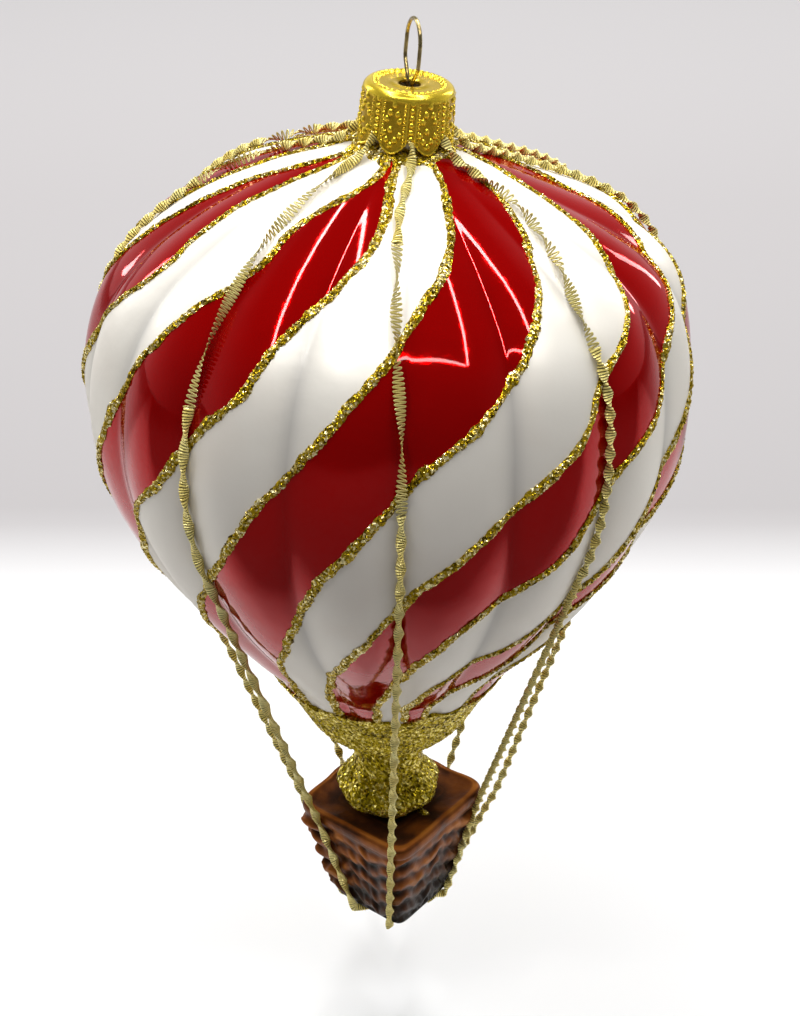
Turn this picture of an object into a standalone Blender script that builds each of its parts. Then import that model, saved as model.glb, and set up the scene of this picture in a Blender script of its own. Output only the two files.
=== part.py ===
"""Hot air balloon ornament in blown glass, with a crown cap, wire stays and a basket.

Metres, +Z up. The origin is the inside of the hanging loop's top, where a hook bears.
Azimuths run from 0 at the front (-Y), positive towards the right (+X).
"""

from math import atan2, cos, exp, pi, radians, sin, tan

import bmesh
import bpy
from mathutils import Matrix, Vector

MM = 0.001
GAP = 0.3 * MM

# The glass leans a little to the right above its widest place, and the crown tilts with it.
LEAN = radians(5.2)
LEAN_RUN = 12.0 * MM
CROWN_Z = 33.0 * MM
CROWN_INNER_R = 10.0 * MM
CROWN_OUTER_R = 40.0 * MM

# Glass body: radius and height of its outline, from the pipe down to the glittered cup.
PIPE_R = 4.5 * MM
BORE_R = 3.7 * MM
PIPE_TOP = 6.7 * MM
BORE_DEPTH = 13.0 * MM
BODY_OUTLINE_MM = (
    # (radius, height)
    (4.6, 33.6),
    (5.2, 33.0),
    (6.0, 32.65),
    (8.0, 31.9),
    (10.0, 31.15),
    (14.0, 29.7),
    (18.0, 28.1),
    (22.0, 26.4),
    (26.0, 24.5),
    (30.0, 22.1),
    (33.0, 19.8),
    (35.8, 16.8),
    (38.0, 12.9),
    (39.5, 8.0),
    (40.2, 3.0),
    (40.2, -2.0),
    (39.6, -6.5),
    (38.3, -11.5),
    (36.4, -16.2),
    (34.1, -20.8),
    (31.5, -25.3),
    (28.4, -29.8),
    (25.2, -34.0),
    (22.1, -38.0),
    (19.6, -41.0),
)
OUTLINE_STEPS_PER_SPAN = 2
RIB_COUNT = 18
RIB_DEPTH = 0.7 * MM
RIB_PHASE = radians(2.0)
RIB_START_R = 12.0 * MM
RIB_FULL_R = 30.0 * MM
BODY_STEPS = RIB_COUNT * 4

# Glittered cup, stem and glue bead.
CUP_OUTLINE_MM = (
    # (radius, height)
    (19.3, -41.3),
    (17.2, -45.0),
    (14.7, -49.0),
    (12.8, -52.6),
    (11.6, -54.6),
    (9.6, -56.8),
    (7.2, -58.4),
    (5.4, -59.2),
)
CUP_STEPS = 48
NECK_R = 5.1 * MM
NECK_TOP = -59.5 * MM
NECK_BOTTOM = -66.1 * MM
NECK_STEPS = 32
BEAD_OUTLINE_MM = (
    # (radius, height)
    (5.5, -66.4),
    (7.0, -67.2),
    (7.8, -68.6),
    (7.7, -70.1),
    (6.9, -71.5),
)
BEAD_STEPS = 42
BEAD_LUMPS = 7
BEAD_LUMP = 0.35 * MM

# Crown cap, on the crown's own axis with its zero at CROWN_Z.
CAP_TOP_R = 5.87 * MM
CAP_HEM_R = 6.2 * MM
CAP_TOP = 7.2 * MM
CAP_WALL = 0.27 * MM
CAP_HOLE_R = 1.65 * MM
CAP_HEM = -0.05 * MM
CAP_ROUND = 0.7 * MM
CAP_STEPS = 48
PETALS = 8
NOTCH_AZIMUTH = radians(5.0)
NOTCH_HALF_WIDTH = 1.3 * MM
NOTCH_HEIGHT = 2.15 * MM
NOTCH_DEPTH = 2.4 * MM
NOTCH_STEPS = 24

# Hanger wire: its loop above the cap, and two legs sprung apart in the pipe.
WIRE_R = 0.25 * MM
LOOP_R = 2.9 * MM
LOOP_TOP = 14.9 * MM
LOOP_STRAIGHT = 2.35 * MM
LOOP_TURN = radians(15.0)
LEG_SPREAD_AT_HOLE = 1.1 * MM
LEG_SPREAD = 3.1 * MM
LEG_TIP = -5.0 * MM

# Basket: a tapered square with rounded corners, its rows of weave, and a dished top.
BASKET_RIM = -71.4 * MM
BASKET_BASE = -91.3 * MM
BASKET_SHIFT = 0.4 * MM
BASKET_HALF_TOP = 10.5 * MM
BASKET_HALF_BASE = 6.4 * MM
BASKET_CORNER_POWER = 9.0
BASKET_DISH = 0.45 * MM
BASKET_WIDEST = 1.3 * MM
BASKET_LIP = 2.2 * MM
BASKET_FOOT = 0.6 * MM
BASKET_ROWS = 5
BASKET_ROW_STEPS = 4
BASKET_ROW_BULGE = 0.85 * MM
BASKET_COLUMNS = 80
WEAVES_PER_SIDE = 3
BASKET_TURN = radians(5.9)
BASKET_TILT = radians(1.5)

# Stays: crimped wires over the glass, then straight to the rim and down to the base.
STAY_R = 0.75 * MM
STAY_START_R = 5.75 * MM
WINDING_R = 5.05 * MM
WINDING_WIRE_R = 0.25 * MM
WINDING_HEIGHT = 1.3 * MM
TWIST_R = 2.0 * MM
STAY_END_R = 2.5 * MM
STAY_HEIGHTS_MM = (33.0, 30.0, 26.0, 20.0, 8.0, -20.0)
STAY_TABLE = (
    # (name, azimuths in degrees at those heights, at the rim, at the base, its stand-off at the rim in mm)
    ("stay_front", (7, -1, -1, 0, 2, 2), 0, -5, 0),
    ("stay_front_right", (52, 57, 48, 42, 42, 39), 88, 85, 0.2),
    ("stay_right", (97, 113, 114, 111, 107, 104), 99, 104, 1.9),
    ("stay_back_right", (138, 135, 134, 134, 134, 134), 128, 132, 0),
    ("stay_back", (185, 184, 183, 182, 182, 183), 186, 184, 0),
    ("stay_back_left", (-130, -127, -127, -129, -131, -134), -138, -138, 0),
    ("stay_left", (-87, -101, -101, -98, -97, -101), -93, -93, 0),
    ("stay_front_left", (-42, -44, -42, -39, -38, -37), -64, -60, 0),
)


def lean_shift(z):
    """Sideways shift of the glass at a height, smooth from the waist upwards."""
    if z <= 0:
        return 0.0
    return tan(LEAN) * (z - LEAN_RUN * (1 - exp(-z / LEAN_RUN)))


CROWN_TILT = LEAN * (1 - exp(-CROWN_Z / LEAN_RUN))
CROWN_BASE = Vector((lean_shift(CROWN_Z), 0, CROWN_Z))
CROWN_UP = Vector((sin(CROWN_TILT), 0, cos(CROWN_TILT)))
HANGING_POINT = CROWN_BASE + CROWN_UP * LOOP_TOP
BASKET_PIVOT = Vector((BASKET_SHIFT, 0, BASKET_RIM))


def smoothstep(t):
    t = min(max(t, 0.0), 1.0)
    return t * t * (3 - 2 * t)


def direction(azimuth):
    """Unit vector in the ground plane: azimuth 0 is the front."""
    return Vector((sin(azimuth), -cos(azimuth), 0))


def glass_point(r, azimuth, z):
    """A point of the leaning glass from its radius, azimuth and height on a straight axis."""
    flat = direction(azimuth) * r
    sheared = flat + Vector((lean_shift(z), 0, z))
    crown = CROWN_BASE + Matrix.Rotation(CROWN_TILT, 3, "Y") @ (flat + Vector((0, 0, z - CROWN_Z)))
    near_crown = smoothstep((CROWN_OUTER_R - r) / (CROWN_OUTER_R - CROWN_INNER_R)) if z > 0 else 0.0
    return sheared.lerp(crown, near_crown)


def rib_radius(r, azimuth):
    """Radius with the ribs' valleys pressed in, deepest at the waist."""
    fade = smoothstep((r - RIB_START_R) / (RIB_FULL_R - RIB_START_R))
    valley = 1 - abs(sin(RIB_COUNT / 2 * (azimuth - RIB_PHASE)))
    return r - RIB_DEPTH * fade * valley


def catmull_rom(points, steps):
    """A smooth line through the points, with this many steps a span."""
    result = []
    for i in range(len(points) - 1):
        p0, p1 = points[max(i - 1, 0)], points[i]
        p2, p3 = points[i + 1], points[min(i + 2, len(points) - 1)]
        for step in range(steps):
            t = step / steps
            even = 2 * p1 + (2 * p0 - 5 * p1 + 4 * p2 - p3) * t**2
            odd = (p2 - p0) * t + (3 * p1 - p0 - 3 * p2 + p3) * t**3
            result.append(0.5 * (even + odd))
    result.append(points[-1])
    return result


def outline(points_mm, steps=1):
    return catmull_rom([Vector(point) * MM for point in points_mm], steps)


def clear_scene():
    for obj in list(bpy.data.objects):
        bpy.data.objects.remove(obj)
    for collection in list(bpy.data.collections):
        bpy.data.collections.remove(collection)


def new_collection(name):
    collection = bpy.data.collections.new(name)
    bpy.context.scene.collection.children.link(collection)
    return collection


def new_material(name, colour, roughness, metallic):
    material = bpy.data.materials.new(name)
    material.use_nodes = True
    shader = material.node_tree.nodes["Principled BSDF"]
    shader.inputs["Base Color"].default_value = (*colour, 1)
    shader.inputs["Roughness"].default_value = roughness
    shader.inputs["Metallic"].default_value = metallic
    return material


def new_empty(name, parent, location, rotation=(0, 0, 0)):
    empty = bpy.data.objects.new(name, None)
    parts.objects.link(empty)
    empty.parent = parent
    empty.location = location
    empty.rotation_euler = rotation
    return empty


def new_object(name, data, material, parent, location=(0, 0, 0), rotation=(0, 0, 0)):
    obj = bpy.data.objects.new(name, data)
    parts.objects.link(obj)
    obj.parent = parent
    obj.location = location
    obj.rotation_euler = rotation
    if material:
        data.materials.append(material)
    return obj


def shade(mesh, angle=40):
    mesh.shade_smooth()
    mesh.set_sharp_from_angle(angle=radians(angle))


def turned(name, profile, steps, material, parent):
    """A profile of (radius, height) points, outer side down, turned round Z."""
    mesh = bpy.data.meshes.new(name)
    points = [(point[0], 0, point[1]) for point in profile]
    mesh.from_pydata(points, [(i, i + 1) for i in range(len(points) - 1)], [])
    obj = new_object(name, mesh, material, parent)
    screw = obj.modifiers.new("Turn", "SCREW")
    screw.steps = screw.render_steps = steps
    screw.use_merge_vertices = True
    screw.merge_threshold = 0.00001
    screw.use_smooth_shade = True
    return obj


def applied(obj):
    """The object with its modifiers made part of its mesh."""
    graph = bpy.context.evaluated_depsgraph_get()
    mesh = bpy.data.meshes.new_from_object(obj.evaluated_get(graph))
    mesh.name = obj.name
    obj.modifiers.clear()
    obj.data = mesh
    return obj


def azimuth_of(point):
    return atan2(point.x, -point.y)


def bend_to_glass(obj, turn):
    """Moves a straight turned mesh onto the leaning, ribbed glass."""
    for vertex in obj.data.vertices:
        spun = Matrix.Rotation(turn, 3, "Z") @ vertex.co
        azimuth = azimuth_of(spun)
        vertex.co = glass_point(rib_radius(spun.xy.length, azimuth), azimuth, spun.z)
    shade(obj.data)
    return obj


def make_envelope(material, frame):
    bore_bottom = CROWN_Z + PIPE_TOP - BORE_DEPTH
    mouth = CROWN_Z + PIPE_TOP
    profile = [Vector((0, bore_bottom)), Vector((BORE_R, bore_bottom)), Vector((BORE_R, mouth))]
    profile += [Vector((PIPE_R, mouth))]
    profile += outline(BODY_OUTLINE_MM)
    profile += [Vector((0, BODY_OUTLINE_MM[-1][1] * MM))]
    bend_to_glass(applied(turned("envelope", profile, BODY_STEPS, material, frame)), RIB_PHASE)


def closed(profile):
    """The profile with its ends brought in to the axis."""
    return [Vector((0, profile[0].y))] + profile + [Vector((0, profile[-1].y))]


def make_lower_glass(material, frame):
    turned("collar", closed(outline(CUP_OUTLINE_MM)), CUP_STEPS, material, frame)
    neck = [Vector((NECK_R, NECK_TOP)), Vector((NECK_R, NECK_BOTTOM))]
    turned("neck", closed(neck), NECK_STEPS, material, frame)
    bead = applied(turned("glue_bead", closed(outline(BEAD_OUTLINE_MM)), BEAD_STEPS, material, frame))
    widest = max(r for r, _ in BEAD_OUTLINE_MM) * MM
    for vertex in bead.data.vertices:
        vertex.co.xy *= 1 + BEAD_LUMP / widest * sin(BEAD_LUMPS * azimuth_of(vertex.co))
    shade(bead.data)


def make_cap(material, crown):
    shoulder = CAP_TOP - CAP_ROUND
    arc = [
        Vector((CAP_TOP_R - CAP_ROUND + CAP_ROUND * sin(a), shoulder + CAP_ROUND * cos(a)))
        for a in (0, pi / 6, pi / 3, pi / 2)
    ]
    profile = [Vector((CAP_HOLE_R, CAP_TOP))] + arc + [Vector((CAP_HEM_R, CAP_HEM))]
    obj = turned("cap", profile, CAP_STEPS, material, crown)
    wall = obj.modifiers.new("Wall", "SOLIDIFY")
    wall.thickness = CAP_WALL
    wall.offset = -1
    cutter_mesh = bpy.data.meshes.new("hem_notches")
    notches = bmesh.new()
    for index in range(PETALS):
        place = (
            Matrix.Rotation(NOTCH_AZIMUTH + index * 2 * pi / PETALS, 4, "Z")
            @ Matrix.Translation((0, -CAP_HEM_R, 0))
            @ Matrix.Diagonal((NOTCH_HALF_WIDTH / NOTCH_HEIGHT, 1, 1, 1))
            @ Matrix.Rotation(pi / 2, 4, "X")
        )
        bmesh.ops.create_cone(
            notches,
            cap_ends=True,
            segments=NOTCH_STEPS,
            radius1=NOTCH_HEIGHT,
            radius2=NOTCH_HEIGHT,
            depth=NOTCH_DEPTH,
            matrix=place,
        )
    bmesh.ops.recalc_face_normals(notches, faces=notches.faces)
    notches.to_mesh(cutter_mesh)
    notches.free()
    cutter = bpy.data.objects.new("hem_notches", cutter_mesh)
    cutters.objects.link(cutter)
    cutter.parent = crown
    cutter.hide_render = True
    cutter.display_type = "WIRE"
    cut = obj.modifiers.new("Petals", "BOOLEAN")
    cut.object = cutter
    cut.operation = "DIFFERENCE"


def wire(name, points, radius, material, parent, rotation=(0, 0, 0)):
    """A round wire along the points, with filled caps."""
    curve = bpy.data.curves.new(name, "CURVE")
    curve.dimensions = "3D"
    curve.bevel_depth = radius
    curve.bevel_resolution = 2
    curve.use_fill_caps = True
    spline = curve.splines.new("POLY")
    spline.points.add(len(points) - 1)
    for point, place in zip(spline.points, points):
        point.co = (*place, 1)
    return new_object(name, curve, material, parent, rotation=rotation)


def hanger_points():
    """Half of the hanger wire, from its top to a leg's tip, as (sideways, up)."""
    centre = LOOP_TOP + WIRE_R - LOOP_R
    arc = [
        Vector((LOOP_R * sin(a), centre + LOOP_R * cos(a))) for a in (k * pi / 12 for k in range(1, 7))
    ]
    rest = [
        (LOOP_R, centre - LOOP_STRAIGHT),
        (0.72 * LOOP_R, centre - LOOP_STRAIGHT - 1.1 * MM),
        (LEG_SPREAD_AT_HOLE, CAP_TOP + GAP),
        (LEG_SPREAD_AT_HOLE, CAP_TOP - 2 * CAP_WALL),
        (2.2 * MM, 4.6 * MM),
        (LEG_SPREAD, 2.0 * MM),
        (LEG_SPREAD, LEG_TIP + 1.5 * MM),
        (0.75 * LEG_SPREAD, LEG_TIP),
    ]
    return arc + [Vector(point) for point in rest]


def make_hanger(material, crown):
    right = hanger_points()
    left = [Vector((-point.x, point.y)) for point in reversed(right)]
    top = [Vector((0, LOOP_TOP + WIRE_R))]
    points = [(point.x, 0, point.y) for point in left + top + right]
    wire("hanger_wire", points, WIRE_R, material, crown, rotation=(0, 0, pi / 2 + LOOP_TURN))


def basket_reach(azimuth, half_side):
    """Distance from the basket's axis to its side, with the corners rounded."""
    a = azimuth - BASKET_TURN + pi / 4
    power = BASKET_CORNER_POWER
    return half_side * (abs(cos(a)) ** power + abs(sin(a)) ** power) ** (-1 / power)


def on_basket(azimuth, r, z):
    """A point round the tilted basket from its azimuth, radius and height on a straight axis."""
    level = direction(azimuth) * r + Vector((0, 0, z - BASKET_RIM))
    return BASKET_PIVOT + Matrix.Rotation(-BASKET_TILT, 3, "Y") @ level


def basket_half(z):
    """Half of the basket's side over its rows, from its widest height down to its base."""
    widest = BASKET_RIM - BASKET_WIDEST
    t = (widest - z) / (widest - BASKET_BASE)
    return BASKET_HALF_TOP + (BASKET_HALF_BASE - BASKET_HALF_TOP) * t


def basket_stations():
    """(half side, height, bulge, row) of each ring, from the dish over the rim and down to the base."""
    stations = [
        (BASKET_HALF_TOP - 2.4 * MM, BASKET_RIM - BASKET_DISH, 0, 0),
        (BASKET_HALF_TOP - 1.9 * MM, BASKET_RIM - 0.5 * BASKET_DISH, 0, 0),
        (BASKET_HALF_TOP - 1.1 * MM, BASKET_RIM, 0, 0),
        (BASKET_HALF_TOP - 0.3 * MM, BASKET_RIM - 0.45 * MM, 0, 0),
        (BASKET_HALF_TOP, BASKET_RIM - BASKET_WIDEST, 0, 0),
    ]
    top = BASKET_RIM - BASKET_LIP
    steps = BASKET_ROWS * BASKET_ROW_STEPS
    for step in range(steps + 1):
        z = top + (BASKET_BASE + BASKET_FOOT - top) * step / steps
        bulge = BASKET_ROW_BULGE * abs(sin(pi * step / BASKET_ROW_STEPS))
        stations.append((basket_half(z) - BASKET_ROW_BULGE, z, bulge, step // BASKET_ROW_STEPS))
    stations.append((BASKET_HALF_BASE - 1.3 * MM, BASKET_BASE, 0, 0))
    return stations


def make_basket(material, frame):
    shape = bmesh.new()
    rings = []
    for half, z, bulge, row in basket_stations():
        ring = []
        for column in range(BASKET_COLUMNS):
            turn = 2 * pi * column / BASKET_COLUMNS
            azimuth = BASKET_TURN + turn
            over = 0.65 + 0.35 * cos(4 * WEAVES_PER_SIDE * turn + pi * row)
            r = basket_reach(azimuth, half + bulge * over)
            ring.append(shape.verts.new(direction(azimuth) * r + Vector((0, 0, z - BASKET_RIM))))
        rings.append(ring)
    for upper, lower in zip(rings, rings[1:]):
        for i in range(BASKET_COLUMNS):
            j = (i + 1) % BASKET_COLUMNS
            shape.faces.new((upper[i], lower[i], lower[j], upper[j]))
    shape.faces.new(rings[0])
    shape.faces.new(rings[-1])
    bmesh.ops.recalc_face_normals(shape, faces=shape.faces)
    mesh = bpy.data.meshes.new("basket")
    shape.to_mesh(mesh)
    shape.free()
    shade(mesh, 50)
    new_object("basket", mesh, material, frame, BASKET_PIVOT, (0, -BASKET_TILT, 0))


def stay_stations(off):
    """Points at this distance off the body's outline, as (radius, height), down to its end."""
    points = outline(BODY_OUTLINE_MM, OUTLINE_STEPS_PER_SPAN)
    stations = []
    for before, point, after in zip(points, points[1:], points[2:]):
        along = after - before
        stations.append(point + Vector((-along.y, along.x)).normalized() * off)
    return stations


def stay_azimuth(z, azimuths):
    """Azimuth of a stay at a height, from the smooth line through its given ones."""
    line = catmull_rom([Vector((h * MM, radians(a))) for h, a in zip(STAY_HEIGHTS_MM, azimuths)], 6)
    for upper, lower in zip(line, line[1:]):
        if z > lower.x:
            t = min((upper.x - z) / (upper.x - lower.x), 1)
            return upper.y + (lower.y - upper.y) * max(t, 0)
    return line[-1].y


def stay_points(azimuths, rim, base, stand_off, end):
    """Centre line of a stay: over the glass, straight to the rim, down the side and under the base."""
    off = STAY_R + GAP
    rim, base = radians(rim), radians(base)
    rim_r = basket_reach(rim, BASKET_HALF_TOP) + off + stand_off * MM
    rim_z = BASKET_RIM - BASKET_WIDEST
    stations = [place for place in stay_stations(off) if place.x > STAY_START_R + STAY_R or place.y < 0]
    slope = (stations[0].y - stations[1].y) / (stations[0].x - stations[1].x)
    start = Vector((STAY_START_R, stations[0].y + slope * (STAY_START_R - stations[0].x)))
    on_glass = []
    flattest = 0
    for place in [start] + stations:
        if place.y < 0:
            lean_in = (place.x - rim_r) / (place.y - rim_z)
            if lean_in < flattest:
                break
            flattest = lean_in
        azimuth = stay_azimuth(place.y, azimuths)
        on_glass.append(glass_point(rib_radius(place.x, azimuth), azimuth, place.y))
    base_r = basket_reach(base, BASKET_HALF_BASE) + off
    under = BASKET_BASE - off
    rim_point = on_basket(rim, rim_r, rim_z)
    foot = on_basket(base, base_r, BASKET_BASE + GAP)
    free = [on_glass[-1].lerp(rim_point, t) for t in (0.25, 0.5, 0.75)]
    return on_glass + free + [
        rim_point,
        rim_point.lerp(foot, 0.5),
        foot,
        on_basket(base, base_r - off, under),
        on_basket(end, STAY_END_R, under),
    ]


def make_stays(material, frame, crown):
    for index, (name, *path) in enumerate(STAY_TABLE):
        end = NOTCH_AZIMUTH + index * 2 * pi / PETALS
        wire(name, stay_points(*path, end), STAY_R, material, frame)
    bpy.ops.mesh.primitive_torus_add(
        major_radius=WINDING_R,
        minor_radius=WINDING_WIRE_R,
        major_segments=40,
        minor_segments=8,
    )
    ring = bpy.context.object
    ring.data.transform(Matrix.Translation((0, 0, WINDING_HEIGHT)))
    adopt(ring, "stay_winding", material, crown)
    bpy.ops.mesh.primitive_uv_sphere_add(segments=16, ring_count=8, radius=TWIST_R)
    bead = bpy.context.object
    bead.data.transform(Matrix.Diagonal((1, 1, 0.5, 1)))
    bead.data.transform(Matrix.Translation(on_basket(0, 0, BASKET_BASE - GAP - 0.6 * TWIST_R)))
    adopt(bead, "stay_twist", material, frame)


def adopt(obj, name, material, parent):
    """Names a primitive, gives it its material and moves it to the parts."""
    obj.name = obj.data.name = name
    obj.data.materials.append(material)
    for collection in list(obj.users_collection):
        collection.objects.unlink(obj)
    parts.objects.link(obj)
    obj.parent = parent
    obj.data.shade_smooth()


clear_scene()
parts = new_collection("hot_air_balloon_ornament")
cutters = new_collection("cutters")
glass_frame = new_empty("glass_frame", None, -HANGING_POINT)
crown_axis = new_empty("crown_axis", glass_frame, CROWN_BASE, (0, CROWN_TILT, 0))

red_glass = new_material("red_glass", (0.55, 0.01, 0.01), 0.12, 0.3)
gold_glitter = new_material("gold_glitter", (0.55, 0.42, 0.08), 0.45, 0.7)
gold_wire = new_material("gold_wire", (0.6, 0.52, 0.22), 0.3, 0.9)
gold_cap = new_material("gold_cap", (0.85, 0.62, 0.12), 0.25, 1.0)
steel_wire = new_material("steel_wire", (0.6, 0.55, 0.42), 0.25, 1.0)
brown_lacquer = new_material("brown_lacquer", (0.12, 0.04, 0.015), 0.2, 0.2)

make_hanger(steel_wire, crown_axis)
make_cap(gold_cap, crown_axis)
make_envelope(red_glass, glass_frame)
make_lower_glass(gold_glitter, glass_frame)
make_basket(brown_lacquer, glass_frame)
make_stays(gold_wire, glass_frame, crown_axis)
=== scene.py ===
"""Hot air balloon ornament in blown glass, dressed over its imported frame.

Everything is in metres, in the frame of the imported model: +Z up, -Y the front, and the
origin at the inside of the hanging loop's top. Sizes are given in millimetres times MM.
Azimuths run from 0 at the front, positive towards the right.
"""

import logging
from dataclasses import dataclass
from enum import Enum
from math import cos, exp, pi, radians, sin, tan

import bpy
import numpy as np
from mathutils import Matrix, Vector


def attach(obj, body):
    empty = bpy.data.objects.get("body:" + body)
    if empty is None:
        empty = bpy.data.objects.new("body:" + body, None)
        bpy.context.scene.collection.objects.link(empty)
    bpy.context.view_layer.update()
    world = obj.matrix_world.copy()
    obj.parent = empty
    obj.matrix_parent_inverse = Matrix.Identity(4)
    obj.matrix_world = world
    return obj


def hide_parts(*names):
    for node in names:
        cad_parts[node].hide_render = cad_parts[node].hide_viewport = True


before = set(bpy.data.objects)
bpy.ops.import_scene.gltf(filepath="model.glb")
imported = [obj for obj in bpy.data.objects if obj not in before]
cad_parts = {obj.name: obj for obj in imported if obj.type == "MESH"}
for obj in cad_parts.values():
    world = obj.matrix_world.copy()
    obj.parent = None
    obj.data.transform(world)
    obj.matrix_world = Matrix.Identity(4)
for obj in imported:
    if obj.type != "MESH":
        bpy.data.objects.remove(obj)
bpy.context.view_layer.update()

MM = 0.001
# radius at which a surface closes on its axis
ON_AXIS = 0.02 * MM
# how far flakes stray, as a share of the space between them
LOOSE = 0.4
# angle above which an edge stays sharp
CREASE = radians(40)
LOG = logging.getLogger("ornament")
Colour = tuple[float, float, float]


class Body(Enum):
    """The moving bodies of the frame."""

    HANGER = "hanger"
    CAP = "cap"
    BALLOON = "balloon"


class Shading(Enum):
    """How a mesh turns its faces into a surface."""

    SMOOTH = "smooth"
    CREASED = "creased"
    FACETED = "faceted"


class Value:
    """A number or vector that a material's nodes work out, for use in Python sums."""

    def __init__(self, graph: "Graph", link: bpy.types.NodeSocket) -> None:
        """Keeps the graph and the socket that gives the value."""
        self.graph = graph
        self.link = link

    def math(self, operation: str, *values: "Value | float", clamp: bool = False) -> "Value":
        """Runs a Math node over values.

        Args:
            operation: the Math node's operation.
            values: its inputs in order, this value among them where it is wanted.
            clamp: whether the result is kept between 0 and 1.

        Returns:
            The node's result.
        """
        settings = {"operation": operation, "use_clamp": clamp}
        return self.graph.add("ShaderNodeMath", settings, dict(enumerate(values)))

    def __add__(self, other: "Value | float") -> "Value":
        """Sum."""
        return self.math("ADD", self, other)

    __radd__ = __add__

    def __sub__(self, other: "Value | float") -> "Value":
        """Difference."""
        return self.math("SUBTRACT", self, other)

    def __rsub__(self, other: float) -> "Value":
        """Difference from a number."""
        return self.math("SUBTRACT", other, self)

    def __mul__(self, other: "Value | float") -> "Value":
        """Product."""
        return self.math("MULTIPLY", self, other)

    __rmul__ = __mul__

    def __truediv__(self, other: "Value | float") -> "Value":
        """Quotient."""
        return self.math("DIVIDE", self, other)

    def clamped(self) -> "Value":
        """The value kept between 0 and 1."""
        return self.math("ADD", self, 0.0, clamp=True)

    def step(self, edge: float, width: float) -> "Value":
        """A ramp from 0 to 1 that passes 0.5 at edge and is this wide."""
        return ((self - edge) / width + 0.5).clamped()


class Graph:
    """The nodes of one material, or of the sky."""

    def __init__(self, name: str, sky: bool = False) -> None:
        """Starts with a Principled shader alone, or with a sky's Background."""
        self.material = (bpy.data.worlds if sky else bpy.data.materials).new(name)
        self.material.use_nodes = True
        self.nodes = self.material.node_tree.nodes
        self.links = self.material.node_tree.links
        self.shader = self.nodes["Background" if sky else "Principled BSDF"]

    def add(self, kind: str, settings: dict, inputs: dict, output: int | str = 0) -> Value:
        """Makes one node.

        Args:
            kind: the node's type name.
            settings: its own properties, set before anything is linked.
            inputs: values or links by the name or number of the input.
            output: name or number of the output that is wanted.

        Returns:
            That output.
        """
        node = self.nodes.new(kind)
        for key, value in settings.items():
            setattr(node, key, value)
        for key, value in inputs.items():
            self.feed(node.inputs[key], value)
        return Value(self, node.outputs[output])

    def feed(self, socket: bpy.types.NodeSocket, value: object) -> None:
        """Links a Value to a socket, or sets the number or colour on it."""
        if isinstance(value, Value):
            self.links.new(value.link, socket)
        elif isinstance(value, tuple) and len(value) == 3 and socket.type == "RGBA":
            socket.default_value = (*value, 1.0)
        else:
            socket.default_value = value

    def set(self, **inputs: object) -> None:
        """Sets or links the shader's inputs, their names with _ for a space."""
        for key, value in inputs.items():
            self.feed(self.shader.inputs[key.replace("_", " ")], value)

    def place(self) -> Value:
        """Position on the object, in metres, which moves along with it."""
        return self.add("ShaderNodeTexCoord", {}, {}, "Object")

    def attribute(self, name: str) -> Value:
        """A number stored on the mesh's vertices."""
        return self.add("ShaderNodeAttribute", {"attribute_name": name}, {}, "Fac")

    def part(self, vector: Value, axis: str) -> Value:
        """One part of a place or a direction."""
        return self.add("ShaderNodeSeparateXYZ", {}, {"Vector": vector}, axis)

    def noise(self, size: float, detail: float = 2.0) -> Value:
        """Noise between 0 and 1 whose lumps are about this many metres across."""
        inputs = {"Vector": self.place(), "Scale": 1.0 / size, "Detail": detail}
        return self.add("ShaderNodeTexNoise", {}, inputs, "Fac")

    def cells(self, size: float, output: str) -> Value:
        """Voronoi cells of about this many metres."""
        inputs = {"Vector": self.place(), "Scale": 1.0 / size}
        return self.add("ShaderNodeTexVoronoi", {}, inputs, output)

    def mix(self, share: Value | float, first: object, second: object) -> Value:
        """A colour between two, by share."""
        inputs = {"Factor": share, 6: first, 7: second}
        return self.add("ShaderNodeMix", {"data_type": "RGBA"}, inputs, 2)

    def ramp(self, share: Value, *stops: tuple[float, Colour]) -> Value:
        """A colour by a number.

        Args:
            share: the number, from 0 to 1.
            stops: places along it, each with its colour.

        Returns:
            The colour there.
        """
        colour = self.add("ShaderNodeValToRGB", {}, {"Fac": share}, "Color")
        elements = colour.link.node.color_ramp.elements
        while len(elements) < len(stops):
            elements.new(0.5)
        for element, (position, tone) in zip(elements, stops):
            element.position = position
            element.color = (*tone, 1.0)
        return colour

    def bump(self, height: Value, depth: float, strength: float = 1.0) -> None:
        """Bump over this depth in metres, into the shader's normal."""
        inputs = {"Height": height, "Distance": depth, "Strength": strength}
        self.set(Normal=self.add("ShaderNodeBump", {}, inputs, "Normal"))


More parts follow.
